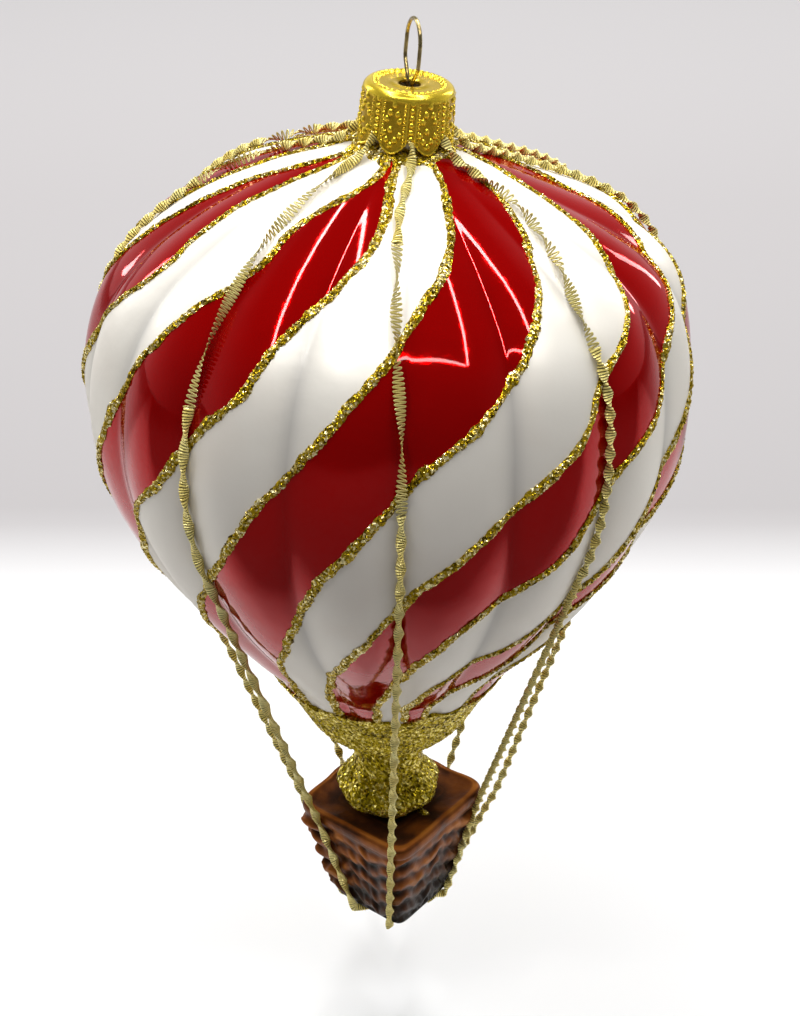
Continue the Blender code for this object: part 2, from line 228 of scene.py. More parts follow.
@dataclass(frozen=True)
class StripedGlass:
    """Silvered glass under red lacquer, with white satin stripes."""

    slot: str = "red_white_glass"
    red: Colour = (0.42, 0.0, 0.0)
    deep_red: Colour = (0.25, 0.0, 0.0)
    white: Colour = (0.88, 0.84, 0.76)
    warm_white: Colour = (0.86, 0.77, 0.67)
    # grey of the painted shade along the rib valleys on the white
    valley_shade_white: Colour = (0.5, 0.48, 0.45)

    def material(self) -> bpy.types.Material:
        """Red where the mesh's stripe reach is positive, white where it is negative, with painted shade along
        the rib valleys.
        """
        graph = Graph("striped_glass")
        red = graph.attribute("stripe_reach").step(0.0, 0.12)
        cloud = graph.noise(18 * MM, 3.0)
        pale = graph.mix(cloud.step(0.62, 0.3) * 0.5, self.white, self.warm_white)
        # painted shade along the rib valleys: the white turns grey there
        valley = graph.attribute("rib_valley").clamped()
        pale = graph.mix(valley * 0.85, pale, self.valley_shade_white)
        # deep red in random clouds, and as painted shade along the rib valleys
        deep = graph.mix((cloud.step(0.45, 0.5) * 0.35 + valley * 0.5).clamped(), self.red, self.deep_red)
        graph.set(
            Base_Color=graph.mix(red, pale, deep),
            Metallic=0.2 + red * 0.28,
            Roughness=0.42 - red * (0.38 - graph.noise(6 * MM) * 0.05),
            Specular_IOR_Level=0.0,
            Coat_Weight=0.08 + red * 0.4,
            Coat_Roughness=0.035,
            Coat_IOR=1.38,
        )
        ripple = graph.noise(9 * MM, 1.0) * 0.75 + graph.noise(2.2 * MM, 2.0) * 0.34
        graph.bump(ripple + graph.noise(0.5 * MM) * 0.03, 0.22 * MM, 0.6)
        return graph.material


@dataclass(frozen=True)
class GoldGlitter:
    """Coarse gold flakes in clear glue."""

    slot: str = "gold_glitter"
    name: str = "gold_glitter"
    flake: float = 0.3 * MM
    shadow: Colour = (0.08, 0.05, 0.001)
    gold: Colour = (0.47, 0.325, 0.014)
    # painted glint of the brightest flakes
    bright: Colour = (1.0, 0.9, 0.5)

    def material(self) -> bpy.types.Material:
        """Each flake with its own painted brightness, from painted shade through gold to a painted glint, and
        its own tilt.
        """
        graph = Graph(self.name)
        flakes = {"Color": graph.cells(self.flake, "Color")}
        brightness, dullness = (graph.add("ShaderNodeSeparateColor", {}, flakes, part) for part in (0, 1))
        # each flake's random tone stands for how it catches the light: painted shade, gold and a painted
        # glint
        tone = (brightness * 0.9 + graph.noise(4 * MM) * 0.5 - 0.2).clamped()
        stops = ((0.05, self.shadow), (0.38, self.gold), (0.66, self.gold), (0.9, self.bright))
        graph.set(
            Base_Color=graph.ramp(tone, *stops),
            Metallic=0.75,
            Roughness=0.14 + dullness * 0.25,
            Specular_IOR_Level=0.0,
        )
        graph.bump(graph.cells(self.flake, "Distance"), 0.08 * MM, 0.6)
        return graph.material


@dataclass(frozen=True)
class GlitterCrust(GoldGlitter):
    """The same glitter laid thick, coarser and more even."""

    name: str = "glitter_crust"
    flake: float = 0.4 * MM
    shadow: Colour = (0.1, 0.066, 0.001)
    gold: Colour = (0.47, 0.35, 0.012)
    # painted glint of the brightest flakes, more golden here
    bright: Colour = (1.0, 0.84, 0.24)


@dataclass(frozen=True)
class CrimpedGold:
    """Bright thin gold ribbon, with painted shade in its crimps, and a little dulled in patches."""

    slot: str = "stay_gold"
    # painted shade in the crimps between the ribbon's ridges
    crimp_shade: Colour = (0.07, 0.045, 0.005)
    dull: Colour = (1.0, 0.79, 0.2)
    bright: Colour = (1.0, 0.91, 0.38)

    def material(self) -> bpy.types.Material:
        """Gold with painted shade in its crimps, and darker in patches."""
        graph = Graph("crimped_gold")
        tarnish = graph.noise(3 * MM, 3.0)
        # crest is 1 on the ridges and 0 in the crimps, where shade is painted
        crest = graph.attribute("crest").clamped()
        gold = graph.mix(tarnish.step(0.5, 0.5), self.dull, self.bright)
        graph.set(
            Base_Color=graph.mix(crest, self.crimp_shade, gold),
            Metallic=0.2,
            Roughness=0.2 + tarnish * 0.2,
        )
        graph.bump(graph.noise(0.12 * MM), 0.015 * MM, 0.5)
        return graph.material


@dataclass(frozen=True)
class EmbossedGold:
    """Gold plated tinplate, with painted highlights on its raised places and painted shade in its hollows."""

    slot: str = "cap_gold"
    hollow_shade: Colour = (0.42, 0.25, 0.008)
    # painted highlight on the raised relief
    raised: Colour = (1.0, 0.72, 0.045)

    def material(self) -> bpy.types.Material:
        """Plating with faint rolling marks, painted darker where the relief is low, as shade, and brighter
        where it is high, as highlight.
        """
        graph = Graph("embossed_gold")
        # relief share: painted shade where low, painted highlight where high, with random stain
        relief = graph.attribute("relief").step(0.25, 0.6)
        stain = graph.noise(1.6 * MM, 3.0)
        graph.set(
            Base_Color=graph.mix((relief * 0.8 + stain * 0.35).clamped(), self.hollow_shade, self.raised),
            Metallic=0.78,
            Roughness=0.16 + stain * 0.14,
        )
        graph.bump(graph.noise(0.5 * MM, 3.0), 0.02 * MM, 0.5)
        return graph.material


@dataclass(frozen=True)
class DrawnWire:
    """Bright drawn wire of the hanger."""

    slot: str = "hanger_steel"
    colour: Colour = (0.5, 0.4, 0.18)
    dark: Colour = (0.2, 0.14, 0.05)

    def material(self) -> bpy.types.Material:
        """Wire with fine drawing scratches and a few dull spots."""
        graph = Graph("drawn_wire")
        spots = graph.noise(1.2 * MM, 3.0)
        graph.set(
            Base_Color=graph.mix(spots.step(0.42, 0.3), self.dark, self.colour),
            Metallic=1.0,
            Roughness=0.15 + spots * 0.2,
        )
        graph.bump(graph.noise(0.15 * MM, 2.0), 0.01 * MM, 0.5)
        return graph.material


@dataclass(frozen=True)
class BasketLacquer:
    """Brown lacquer over moulded wicker, with a painted copper highlight on the raised strands and painted
    shade below.
    """

    slot: str = "brown_lacquer"
    # black of the painted shade, in recesses, below and to the right
    shade_black: Colour = (0.014, 0.009, 0.006)
    # dark brown of the painted shade between the strands
    dark: Colour = (0.07, 0.022, 0.008)
    brown: Colour = (0.25, 0.072, 0.012)
    # painted highlight on the raised strands and along the rim's crest
    copper_highlight: Colour = (0.66, 0.24, 0.04)

    def material(self) -> bpy.types.Material:
        """Brown by the relief, with painted shade to the right and towards the base."""
        graph = Graph("basket_lacquer")
        relief = graph.attribute("relief").clamped()
        shade = graph.attribute("shade").clamped()
        patches = graph.noise(5 * MM, 3.0)
        # worn is the share of painted highlight: high on raised strands, low in recesses as painted shade,
        # and varied in random patches
        worn = (relief * 0.55 + patches * 1.1 - 0.5).clamped()
        stops = ((0.0, self.shade_black), (0.22, self.dark), (0.5, self.brown), (1.0, self.copper_highlight))
        lacquer = graph.ramp(worn, *stops)
        graph.set(
            # the shade attribute paints shade towards the base, to the right and in the dish beside the bead
            Base_Color=graph.mix((shade + (patches - 0.5) * 0.5).clamped(), lacquer, self.shade_black),
            Metallic=0.3,
            Roughness=0.27 + patches * 0.2,
            Specular_IOR_Level=0.05,
            Coat_Weight=0.04,
            Coat_Roughness=0.12,
            Coat_IOR=1.35,
        )
        graph.bump(graph.noise(1.6 * MM, 3.0), 0.3 * MM, 0.5)
        return graph.material


@dataclass(frozen=True)
class PaleFloor:
    """Plain matt floor with painted light: a white pool under and behind the object, painted shade in front,
    and pale grey further off.
    """

    tint: Colour = (1.0, 0.957, 0.962)
    half: float = 1.0
    painted_light_tones: tuple = (
        # (distance behind the object, tone)
        (-0.9, 0.6), (-0.35, 0.28), (-0.078, 0.2), (-0.024, 0.85), (0.107, 0.85), (0.152, 0.42),
        (0.35, 0.5), (0.6, 0.66), (0.9, 0.75),
    )

    def material(self) -> bpy.types.Material:
        """Painted light and shade as soft changes of tone from front to back."""
        graph = Graph("pale_floor")
        across = graph.part(graph.place(), "Y")
        stops = [((y + self.half) / (2 * self.half), self.colour(tone)) for y, tone in self.painted_light_tones]
        graph.set(Base_Color=graph.ramp(across.step(0.0, 2 * self.half), *stops), Roughness=0.8)
        return graph.material

    def colour(self, tone: float) -> Colour:
        """A tone's colour, the darker ones faintly warm."""
        share = min(1.0, (0.85 - tone) * 4)
        return tuple(tone * (1 + (part - 1) * share) for part in self.tint)


@dataclass(frozen=True)
class SoftSky:
    """Plain light from all round: bright low down at the sides and behind, dim in front and overhead."""

    dim: float = 0.1
    bright: float = 0.66
    cool: Colour = (0.97, 0.98, 1.0)

    def world(self) -> bpy.types.World:
        """The sky's light by direction."""
        graph = Graph("soft_sky", sky=True)
        towards = graph.add("ShaderNodeTexCoord", {}, {}, "Generated")
        behind = graph.part(towards, "Y").step(-0.1, 1.1)
        high = graph.part(towards, "Z").step(0.45, 0.6)
        graph.set(Color=self.cool, Strength=self.dim + behind * (1 - high) * (self.bright - self.dim))
        return graph.material


@dataclass(frozen=True)
class SmoothLine:
    """A smooth line through points, as NumPy rows."""

    points: np.ndarray

    def sampled(self, steps: int) -> np.ndarray:
        """Catmull-Rom points.

        Args:
            steps: points for each span.

        Returns:
            Rows along the line, both ends among them.
        """
        rows = np.vstack([self.points[:1], self.points, self.points[-1:]])
        p0, p1, p2, p3 = rows[:-3], rows[1:-2], rows[2:-1], rows[3:]
        t = (np.arange(steps) / steps)[None, :, None]
        p0, p1, p2, p3 = (p[:, None, :] for p in (p0, p1, p2, p3))
        even = 2 * p1 + (2 * p0 - 5 * p1 + 4 * p2 - p3) * t**2
        odd = (p2 - p0) * t + (3 * p1 - p0 - 3 * p2 + p3) * t**3
        spans = 0.5 * (even + odd)
        return np.vstack([spans.reshape(-1, self.points.shape[1]), self.points[-1:]])

    def evenly(self, spacing: float, steps: int = 8) -> np.ndarray:
        """Points this far apart along the line, in metres."""
        line = self.sampled(steps)
        runs = lengths(line)
        at = np.linspace(0, runs[-1], max(2, round(runs[-1] / spacing)))
        return np.stack([np.interp(at, runs, line[:, k]) for k in range(line.shape[1])], axis=1)


def smoothstep(t: np.ndarray | float) -> np.ndarray:
    """Eases from 0 to 1 as t does."""
    t = np.clip(t, 0.0, 1.0)
    return t * t * (3 - 2 * t)


def unit(vectors: np.ndarray) -> np.ndarray:
    """Vectors of length 1 along the last axis."""
    return vectors / np.maximum(np.linalg.norm(vectors, axis=-1, keepdims=True), 1e-12)


def ground(azimuth: np.ndarray) -> np.ndarray:
    """Unit vectors in the ground plane, azimuth 0 to the front."""
    azimuth = np.asarray(azimuth, float)
    return np.stack([np.sin(azimuth), -np.cos(azimuth), np.zeros_like(azimuth)], axis=-1)


def turns(count: int) -> np.ndarray:
    """This many azimuths, evenly spaced round a full turn."""
    return 2 * pi * np.arange(count) / count


def lengths(points: np.ndarray) -> np.ndarray:
    """Length along a line from its start to each of its points."""
    return np.concatenate([[0], np.cumsum(np.linalg.norm(np.diff(points, axis=0), axis=1))])


def waves(t: np.ndarray, parts: tuple) -> np.ndarray:
    """Sum of sine waves.

    Args:
        t: where they are taken.
        parts: each wave's height, its rate and its start in radians.

    Returns:
        The sum at each place.
    """
    return sum(height * np.sin(rate * t + start) for height, rate, start in parts)


def scatter(random: np.random.Generator, shape: tuple, most: float) -> np.ndarray:
    """Random numbers of either sign, none of them further from 0 than most."""
    return random.uniform(-1, 1, shape) * most


def wander(random: np.random.Generator, count: int, length: int) -> np.ndarray:
    """Smooth random numbers between -1 and 1 that change every few points."""
    keys = random.uniform(-1, 1, count // length + 3)
    return np.interp(np.arange(count) / length, np.arange(len(keys)), keys)


def add_object(name: str, data: bpy.types.ID) -> bpy.types.Object:
    """Puts an object with this data into the scene."""
    obj = bpy.data.objects.new(name, data)
    bpy.context.scene.collection.objects.link(obj)
    return obj


class Rowed:
    """A piece that is built row by row, each with the same number of columns."""

    columns: int

    def row(self, *parts: np.ndarray | float) -> np.ndarray:
        """The parts of a row, such as radius and height, spread over all its columns."""
        return np.stack([np.broadcast_to(part, self.columns) for part in parts])


@dataclass
class Surface:
    """A closed mesh in the making, and what it needs to become a piece."""

    name: str
    body: Body
    shading: Shading = Shading.SMOOTH

    def __post_init__(self) -> None:
        """Starts with no faces."""
        self.vertices: list[np.ndarray] = []
        self.faces: list[np.ndarray] = []
        self.caps: list[list[int]] = []
        self.fields: dict[str, list[np.ndarray]] = {}
        self.count = 0

    def grid(
        self,
        points: np.ndarray,
        along: bool = False,
        ends: bool = False,
        **fields: np.ndarray,
    ) -> None:
        """Adds a sheet of four-sided faces, each of its rows closed on itself.

        Args:
            points: rows by columns of positions, the row frame in metres.
            along: whether the last row meets the first.
            ends: whether the first and last rows are filled with a face.
            fields: a number for each point, by name, for the materials.
        """
        rows, columns = points.shape[:2]
        index = np.arange(rows * columns).reshape(rows, columns) + self.count
        index = np.hstack([index, index[:, :1]])
        if along:
            index = np.vstack([index, index[:1]])
        quads = np.stack([index[:-1, :-1], index[1:, :-1], index[1:, 1:], index[:-1, 1:]], axis=-1)
        self.faces.append(quads.reshape(-1, 4))
        if ends:
            self.caps.append(list(index[0, :columns]))
            self.caps.append(list(index[-1, :columns][::-1]))
        self.vertices.append(points.reshape(-1, 3))
        for key in set(self.fields) | set(fields):
            stored = self.fields.setdefault(key, [np.zeros(self.count)])
            stored.append(np.broadcast_to(fields.get(key, 0.0), (rows, columns)).reshape(-1))
        self.count += rows * columns

    def tube(self, line: np.ndarray, radius: float, sides: int, closed: bool = False) -> None:
        """Adds a round wire.

        Args:
            line: its centre line's points.
            radius: its radius.
            sides: sides of its section.
            closed: whether it is a ring.
        """
        if closed:
            along = unit(np.roll(line, -1, axis=0) - np.roll(line, 1, axis=0))
        else:
            along = unit(np.gradient(line, axis=0))
        side = np.empty_like(line)
        aslant = (0.31, 0.52, 0.79)
        first = np.cross(along[0], aslant)
        for i, direction in enumerate(along):
            first = first - direction * (first @ direction)
            first = first / np.linalg.norm(first)
            side[i] = first
        other = np.cross(along, side)
        turn = turns(sides)[:, None]
        ring = side[:, None] * np.cos(turn) + other[:, None] * np.sin(turn)
        # round wires get crest 1, so no painted crimp shade
        self.grid(line[:, None] + ring * radius, along=closed, ends=not closed, crest=np.ones((1, 1)))

    def piece(self, finish: object, *replaced: str) -> None:
        """Makes the object and hands it to the frame.

        Args:
            finish: the finish that gives its material.
            replaced: the frame's nodes that it stands for.
        """
        mesh = bpy.data.meshes.new(self.name)
        quads = np.vstack(self.faces)
        polygons = quads.tolist() + self.caps
        mesh.from_pydata(np.vstack(self.vertices).tolist(), [], polygons)
        mesh.update()
        for key, parts in self.fields.items():
            stored = mesh.attributes.new(key, "FLOAT", "POINT")
            stored.data.foreach_set("value", np.concatenate(parts).astype(np.float32))
        if self.shading is not Shading.FACETED:
            mesh.shade_smooth()
        if self.shading is Shading.CREASED:
            mesh.set_sharp_from_angle(angle=CREASE)
        mesh.materials.append(finish_material(finish))
        obj = add_object(self.name, mesh)
        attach(obj, self.body.value)
        if replaced:
            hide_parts(*replaced)
        LOG.info("%s: %d faces", self.name, len(polygons))


MADE: dict[str, bpy.types.Material] = {}


def finish_material(finish: object) -> bpy.types.Material:
    """The material of a finish, made once."""
    name = type(finish).__name__
    if name not in MADE:
        MADE[name] = finish.material()
    return MADE[name]


@dataclass(frozen=True)
class GlassForm:
    """The shape of the blown glass, on which all the other pieces lie."""

    lean: float = radians(5.2)
    lean_run: float = 12.0 * MM
    crown_z: float = 33.0 * MM
    crown_inner_r: float = 10.0 * MM
    crown_outer_r: float = 40.0 * MM
    loop_top: float = 14.9 * MM
    rib_count: int = 18
    rib_depth: float = 1.2 * MM
    rib_phase: float = radians(2.0)
    rib_start_r: float = 7.0 * MM
    rib_full_r: float = 30.0 * MM
    body_mm: tuple = (
        # (radius, height)
        (4.6, 33.6), (5.2, 33.0), (6.0, 32.65), (8.0, 31.9), (10.0, 31.15), (14.0, 29.7), (18.0, 28.1),
        (22.0, 26.4), (26.0, 24.5), (30.0, 22.1), (33.0, 19.8), (35.8, 16.8), (38.0, 12.9), (39.5, 8.0),
        (40.2, 3.0), (40.2, -2.0), (39.6, -6.5), (38.3, -11.5), (36.4, -16.2), (34.1, -20.8),
        (31.5, -25.3), (28.4, -29.8), (25.2, -34.0), (22.1, -38.0), (19.6, -41.0), (18.3, -43.0),
        (16.95, -45.1), (15.5, -47.2),
    )

    @property
    def tilt(self) -> float:
        """How far the crown leans to the right."""
        return self.lean * (1 - exp(-self.crown_z / self.lean_run))

    @property
    def crown(self) -> np.ndarray:
        """The crown's base point, before the hanging point is taken off."""
        return np.array([self.shift(self.crown_z).item(), 0.0, self.crown_z])

    @property
    def hanging_point(self) -> np.ndarray:
        """Inside of the loop's top, the origin of the frame."""
        return self.crown + self.loop_top * np.array([sin(self.tilt), 0, cos(self.tilt)])

    def shift(self, z: np.ndarray | float) -> np.ndarray:
        """Sideways shift of the glass at a height."""
        up = np.maximum(z, 0.0)
        return tan(self.lean) * (up - self.lean_run * (1 - np.exp(-up / self.lean_run)))

    def tilted(self, points: np.ndarray) -> np.ndarray:
        """Points on the crown's own axis, put in the row frame."""
        turn = np.array(Matrix.Rotation(self.tilt, 3, "Y"))
        return points @ turn.T + self.crown - self.hanging_point

    def place(self, r: np.ndarray, azimuth: np.ndarray, z: np.ndarray) -> np.ndarray:
        """Puts radius, azimuth and height on a straight axis onto the leaning glass."""
        r, azimuth, z = np.broadcast_arrays(r, azimuth, z)
        straight = ground(azimuth) * r[..., None]
        straight[..., 2] = z
        sheared = straight - self.hanging_point
        sheared[..., 0] += self.shift(z)
        crown = self.tilted(straight - np.array([0, 0, self.crown_z]))
        share = smoothstep((self.crown_outer_r - r) / (self.crown_outer_r - self.crown_inner_r))
        share = np.where(z > 0, share, 0.0)[..., None]
        return sheared + (crown - sheared) * share

    def valley(self, azimuth: np.ndarray) -> np.ndarray:
        """1 at the bottom of a valley between ribs, 0 on a rib."""
        return 1 - np.sqrt(np.sin(self.rib_count / 2 * (azimuth - self.rib_phase)) ** 2 + 0.005)

    def rib_rise(self, r: np.ndarray) -> np.ndarray:
        """How far the ribs have grown at a radius, from 0 to 1."""
        return smoothstep((r - self.rib_start_r) / (self.rib_full_r - self.rib_start_r))

    def ribbed(self, r: np.ndarray, azimuth: np.ndarray) -> np.ndarray:
        """Radius with the valleys pressed in."""
        return r - self.rib_depth * self.rib_rise(r) * self.valley(azimuth)

    def outline(self, steps: int) -> np.ndarray:
        """(radius, height) rows down the body."""
        return SmoothLine(np.array(self.body_mm) * MM).sampled(steps)

    def radius(self, z: np.ndarray) -> np.ndarray:
        """Radius of the body at heights."""
        line = self.outline(8)[::-1]
        return np.interp(z, line[:, 1], line[:, 0])

    def on_surface(self, azimuth: np.ndarray, z: np.ndarray, off: np.ndarray | float = 0.0) -> np.ndarray:
        """Points on the ribbed glass.

        Args:
            azimuth: azimuths.
            z: heights on the straight axis.
            off: distances off the glass.

        Returns:
            The points in the row frame.
        """
        step = 0.3 * MM
        r = self.radius(z)
        slope = (self.radius(z + step) - self.radius(z - step)) / (2 * step)
        share = 1 / np.sqrt(1 + slope**2)
        return self.place(self.ribbed(r, azimuth) + off * share, azimuth, z - off * slope * share)


@dataclass(frozen=True)
class Stripes:
    """Sixteen swirled lines round the glass, red and white stripes in turn between them."""

    glass: GlassForm
    steps: int = 10
    hand: float = 0.22 * MM
    least_r: float = 8 * MM
    heights_mm: tuple = (33.5, 32, 28, 24, 20, 14, 8, 0, -8, -16, -24, -32, -41)
    azimuths: tuple = (
        # a row a line, its azimuths in degrees at those heights, the lines that start a red stripe first
        (346, 344, 324, 321, 314, 307, 302, 296, 290, 283, 275, 268, 261),
        (354, 353, 352, 345, 337, 332, 324, 316, 305, 298, 290, 284, 277),
        (391, 389, 379, 368, 360.5, 351.5, 345, 336, 329, 320, 312, 305, 299),
        (426, 423, 410, 397.5, 389, 379, 367, 357, 348, 342, 336, 328, 318),
        (454, 452, 438, 427, 418, 403, 395, 380, 367, 359, 351, 343, 337),
        (477, 475, 467, 453, 442, 427, 418, 402, 392, 377, 368, 362, 355),
        (502, 500, 490, 478, 466, 450, 438, 427, 415, 406, 390, 375, 367),
        (527, 525, 512, 500, 490, 476, 463, 446, 432, 418, 403, 391, 377),
        (550, 548, 538, 528, 518, 502, 488, 471, 457, 443, 428, 412, 399),
        (570, 568, 560, 550, 540, 524, 510, 493, 479, 465, 450, 435, 421),
        (588, 586, 580, 572, 563, 548, 534, 516, 502, 487, 473, 458, 445),
        (604, 602, 598, 592, 585, 570, 556, 538, 524, 510, 496, 481, 467),
        (618, 616, 612, 608, 603, 591, 578, 561, 548, 534, 520, 505, 490),
        (632, 630, 626, 622, 618, 608, 598, 584, 571, 558, 545, 530, 515),
        (657, 656, 641, 636, 634, 628, 620, 608, 598, 586, 572, 556, 540),
        (665, 664, 656, 655, 655, 646, 639, 632, 622, 611, 600, 588, 574),
    )

    def table(self) -> tuple[np.ndarray, np.ndarray]:
        """Heights, lowest first, and the azimuth of each line at them in radians."""
        keys = np.column_stack([np.array(self.heights_mm) * MM, np.radians(np.array(self.azimuths).T)])
        line = SmoothLine(keys).sampled(self.steps)[::-1]
        return line[:, 0], line[:, 1:]

    def line(self, index: int, z: np.ndarray) -> np.ndarray:
        """Azimuth of one line at heights, with the small waver of a hand."""
        heights, azimuths = self.table()
        waver = waves(z, ((0.6, 900, index * 1.7), (0.4, 2100, index * 2.9)))
        reach = np.maximum(self.glass.radius(z), self.least_r)
        return np.interp(z, heights, azimuths[:, index]) + waver * self.hand / reach

    def reach(self, azimuth: np.ndarray, z: np.ndarray) -> np.ndarray:
        """Distance in mm to the nearest line, positive on red and negative on white."""
        lines = np.stack([self.line(k, z) for k in range(len(self.azimuths))], axis=-1)
        lines = np.concatenate([lines, lines[..., :1] + 2 * pi], axis=-1)
        turned = lines[..., 0] + np.mod(azimuth - lines[..., 0], 2 * pi)
        after = turned[..., None] - lines
        below = np.clip(np.sum(after >= 0, axis=-1) - 1, 0, len(self.azimuths) - 1)
        start = np.take_along_axis(after, below[..., None], axis=-1)[..., 0]
        end = -np.take_along_axis(after, below[..., None] + 1, axis=-1)[..., 0]
        arc = np.minimum(start, end) * self.glass.radius(z) / MM
        return np.where(below % 2 == 0, arc, -arc)


@dataclass(frozen=True)
class Envelope:
    """The glass body with its pipe, and the glitter lines on it."""

    glass: GlassForm
    stripes: Stripes
    pipe_r: float = 4.5 * MM
    bore_r: float = 3.7 * MM
    pipe_top: float = 6.7 * MM
    pipe_edge: float = 0.2 * MM
    bore_depth: float = 13.0 * MM
    bare_above: float = 0.5 * MM
    columns: int = 360
    outline_steps: int = 9
    line_seed: int = 11
    line_width: float = 1.15 * MM
    line_height: float = 0.34 * MM
    line_grit: float = 0.13 * MM
    line_cell: float = 0.21 * MM
    line_columns: int = 8
    line_stations: int = 160
    line_top: float = 32.4 * MM
    line_bottom: float = -45.4 * MM
    line_foot: float = 0.25 * MM
    line_ends: int = 5
    line_thin_run: float = 12.0 * MM
    crown_thin_z: float = 12.0 * MM
    low_thin_z: float = -16.0 * MM
    clot_seed: int = 5
    clot_columns: int = 180
    clot_rows: int = 12
    clot_inner_r: float = 4.9 * MM
    clot_outer_r: float = 6.9 * MM
    clot_z: float = 31.0 * MM
    clot_lobe: float = 0.9 * MM
    clot_ragged: float = 0.5 * MM
    clot_height: float = 0.2 * MM
    clot_grit: float = 0.08 * MM
    clot_foot: float = 0.3 * MM

    def body(self) -> None:
        """The glass itself, its pipe left bare."""
        mouth = self.glass.crown_z + self.pipe_top
        bottom = mouth - self.bore_depth
        pipe = [
            (ON_AXIS, bottom),
            (self.bore_r, bottom),
            (self.bore_r, mouth - 0.5 * self.pipe_edge),
            (self.bore_r + self.pipe_edge, mouth),
            (self.pipe_r - self.pipe_edge, mouth),
            (self.pipe_r, mouth - self.pipe_edge),
        ]
        outline = self.glass.outline(self.outline_steps)
        profile = np.vstack([pipe, outline, [(ON_AXIS, outline[-1, 1])]])
        azimuth = turns(self.columns) + self.glass.rib_phase
        r = profile[:, :1]
        z = profile[:, 1:]
        around, height = np.broadcast_arrays(azimuth[None], z)
        reach = self.stripes.reach(around, height)
        on_pipe = height > self.glass.crown_z + self.bare_above
        surface = Surface("envelope_glass", Body.BALLOON, Shading.CREASED)
        surface.grid(
            self.glass.place(self.glass.ribbed(r, azimuth), azimuth, z),
            ends=True,
            stripe_reach=np.where(on_pipe, -1.0, reach),
            # narrow line at each rib valley, where the glass is painted with shade
            rib_valley=(self.glass.valley(azimuth) * self.glass.rib_rise(r)) ** 4,
        )
        surface.piece(StripedGlass(), "envelope")

    def glitter_lines(self) -> None:
        """A raised, rough band of glitter along each line."""
        surface = Surface("glitter_lines", Body.BALLOON, Shading.FACETED)
        random = np.random.default_rng(self.line_seed)
        heights = np.linspace(self.line_top, self.line_bottom, self.line_stations)
        for index in range(len(self.stripes.azimuths)):
            surface.grid(self.band(self.track(index, heights), random), ends=True)
        surface.piece(GoldGlitter())

    def crown_glitter(self) -> None:
        """The clotted glitter round the pipe's foot, in which all the lines end."""
        random = np.random.default_rng(self.clot_seed)
        columns = self.clot_columns
        azimuth = turns(columns)
        reach = np.abs(self.stripes.reach(azimuth, np.full(columns, self.clot_z)))
        lobes = self.clot_lobe * np.exp(-((reach / 0.8) ** 2)) + self.clot_ragged * wander(random, columns, 6)
        outer = self.clot_outer_r + lobes
        share = np.linspace(0, 1, self.clot_rows)[:, None]
        r = self.clot_inner_r + (outer[None] - self.clot_inner_r) * share
        r = r + scatter(random, r.shape, 0.9 * self.clot_grit)
        height = self.clot_height + scatter(random, r.shape, self.clot_grit)
        height = height * smoothstep((1 - share) / 0.12)
        r = np.vstack([r, outer - self.clot_height, np.full((1, columns), self.clot_inner_r)])
        height = np.vstack([height, np.full((2, columns), -self.clot_foot)])
        line = self.glass.outline(8)[::-1]
        z = np.interp(-r, -line[:, 0], line[:, 1]) + height
        turn = azimuth[None] + scatter(random, r.shape, LOOSE * 2 * pi / columns)
        surface = Surface("crown_glitter", Body.BALLOON, Shading.FACETED)
        surface.grid(self.glass.place(r, turn, z), along=True)
        surface.piece(GoldGlitter())

    def track(self, index: int, heights: np.ndarray) -> np.ndarray:
        """(azimuth, height) rows of a line, evenly spaced over the glass."""
        azimuth = self.stripes.line(index, heights)
        points = self.glass.on_surface(azimuth, heights)
        runs = lengths(points)
        at = np.linspace(0, runs[-1], round(runs[-1] / self.line_cell))
        return np.column_stack([np.interp(at, runs, azimuth), np.interp(at, runs, heights)])

    def band(self, track: np.ndarray, random: np.random.Generator) -> np.ndarray:
        """The band's mesh, its section a low dome whose flakes stand at all angles.

        Args:
            track: (azimuth, height) rows of its middle.
            random: where the flakes' places come from.

        Returns:
            Rows along it of points round its section.
        """
        azimuth, z = track[:, :1], track[:, 1:]
        count = len(track)
        r = self.glass.radius(z)
        tall = np.sqrt(1 + np.gradient(r[:, 0], z[:, 0])[:, None] ** 2)
        steps = np.gradient(track, axis=0)
        along = unit(np.hstack([steps[:, :1] * r, steps[:, 1:] * tall]))
        wide = 1 + 0.24 * wander(random, count, 9) + 0.2 * wander(random, count, 3)
        wide = wide[:, None] * self.pressure(azimuth, z)
        step = np.arange(count)[:, None]
        ends = smoothstep(np.minimum(step, step[::-1]) / self.line_ends)
        half = 0.5 * self.line_width * wide * (0.5 + 0.5 * ends)

        def beside(side: np.ndarray, shift: np.ndarray | float) -> tuple[np.ndarray, np.ndarray]:
            """Azimuth and height to a side of the middle, and shifted along it."""
            turned = (side * -along[:, 1:] + shift * along[:, :1]) / r
            raised = (side * along[:, :1] + shift * along[:, 1:]) / tall
            return azimuth + turned, z + raised

        across = np.linspace(-1, 1, self.line_columns)[None]
        shape = (count, self.line_columns)
        side = across * half + scatter(random, shape, LOOSE * self.line_cell)
        shift = scatter(random, shape, LOOSE * self.line_cell)
        height = self.line_height * (1 - across**2 * 0.85) * (0.75 + 0.25 * wide) * ends
        height = height + scatter(random, shape, self.line_grit)
        top = self.glass.on_surface(*beside(side, shift), np.maximum(height, 0.04 * MM))
        under = self.glass.on_surface(*beside(np.array([[0.8, -0.8]]) * half, 0.0), -self.line_foot)
        return np.concatenate([top, under], axis=1)

    def pressure(self, azimuth: np.ndarray, z: np.ndarray) -> np.ndarray:
        """Share of the usual width: the lines are thin round the crown's back and low on the right."""
        turn = np.mod(azimuth + pi, 2 * pi) - pi
        crown = smoothstep((z - self.crown_thin_z) / self.line_thin_run) * (1 - np.exp(-((turn / 0.7) ** 2)))
        low = smoothstep((self.low_thin_z - z) / self.line_thin_run) * smoothstep((turn - 0.1) / 0.5)
        return 1.04 - 0.4 * crown - 0.45 * low


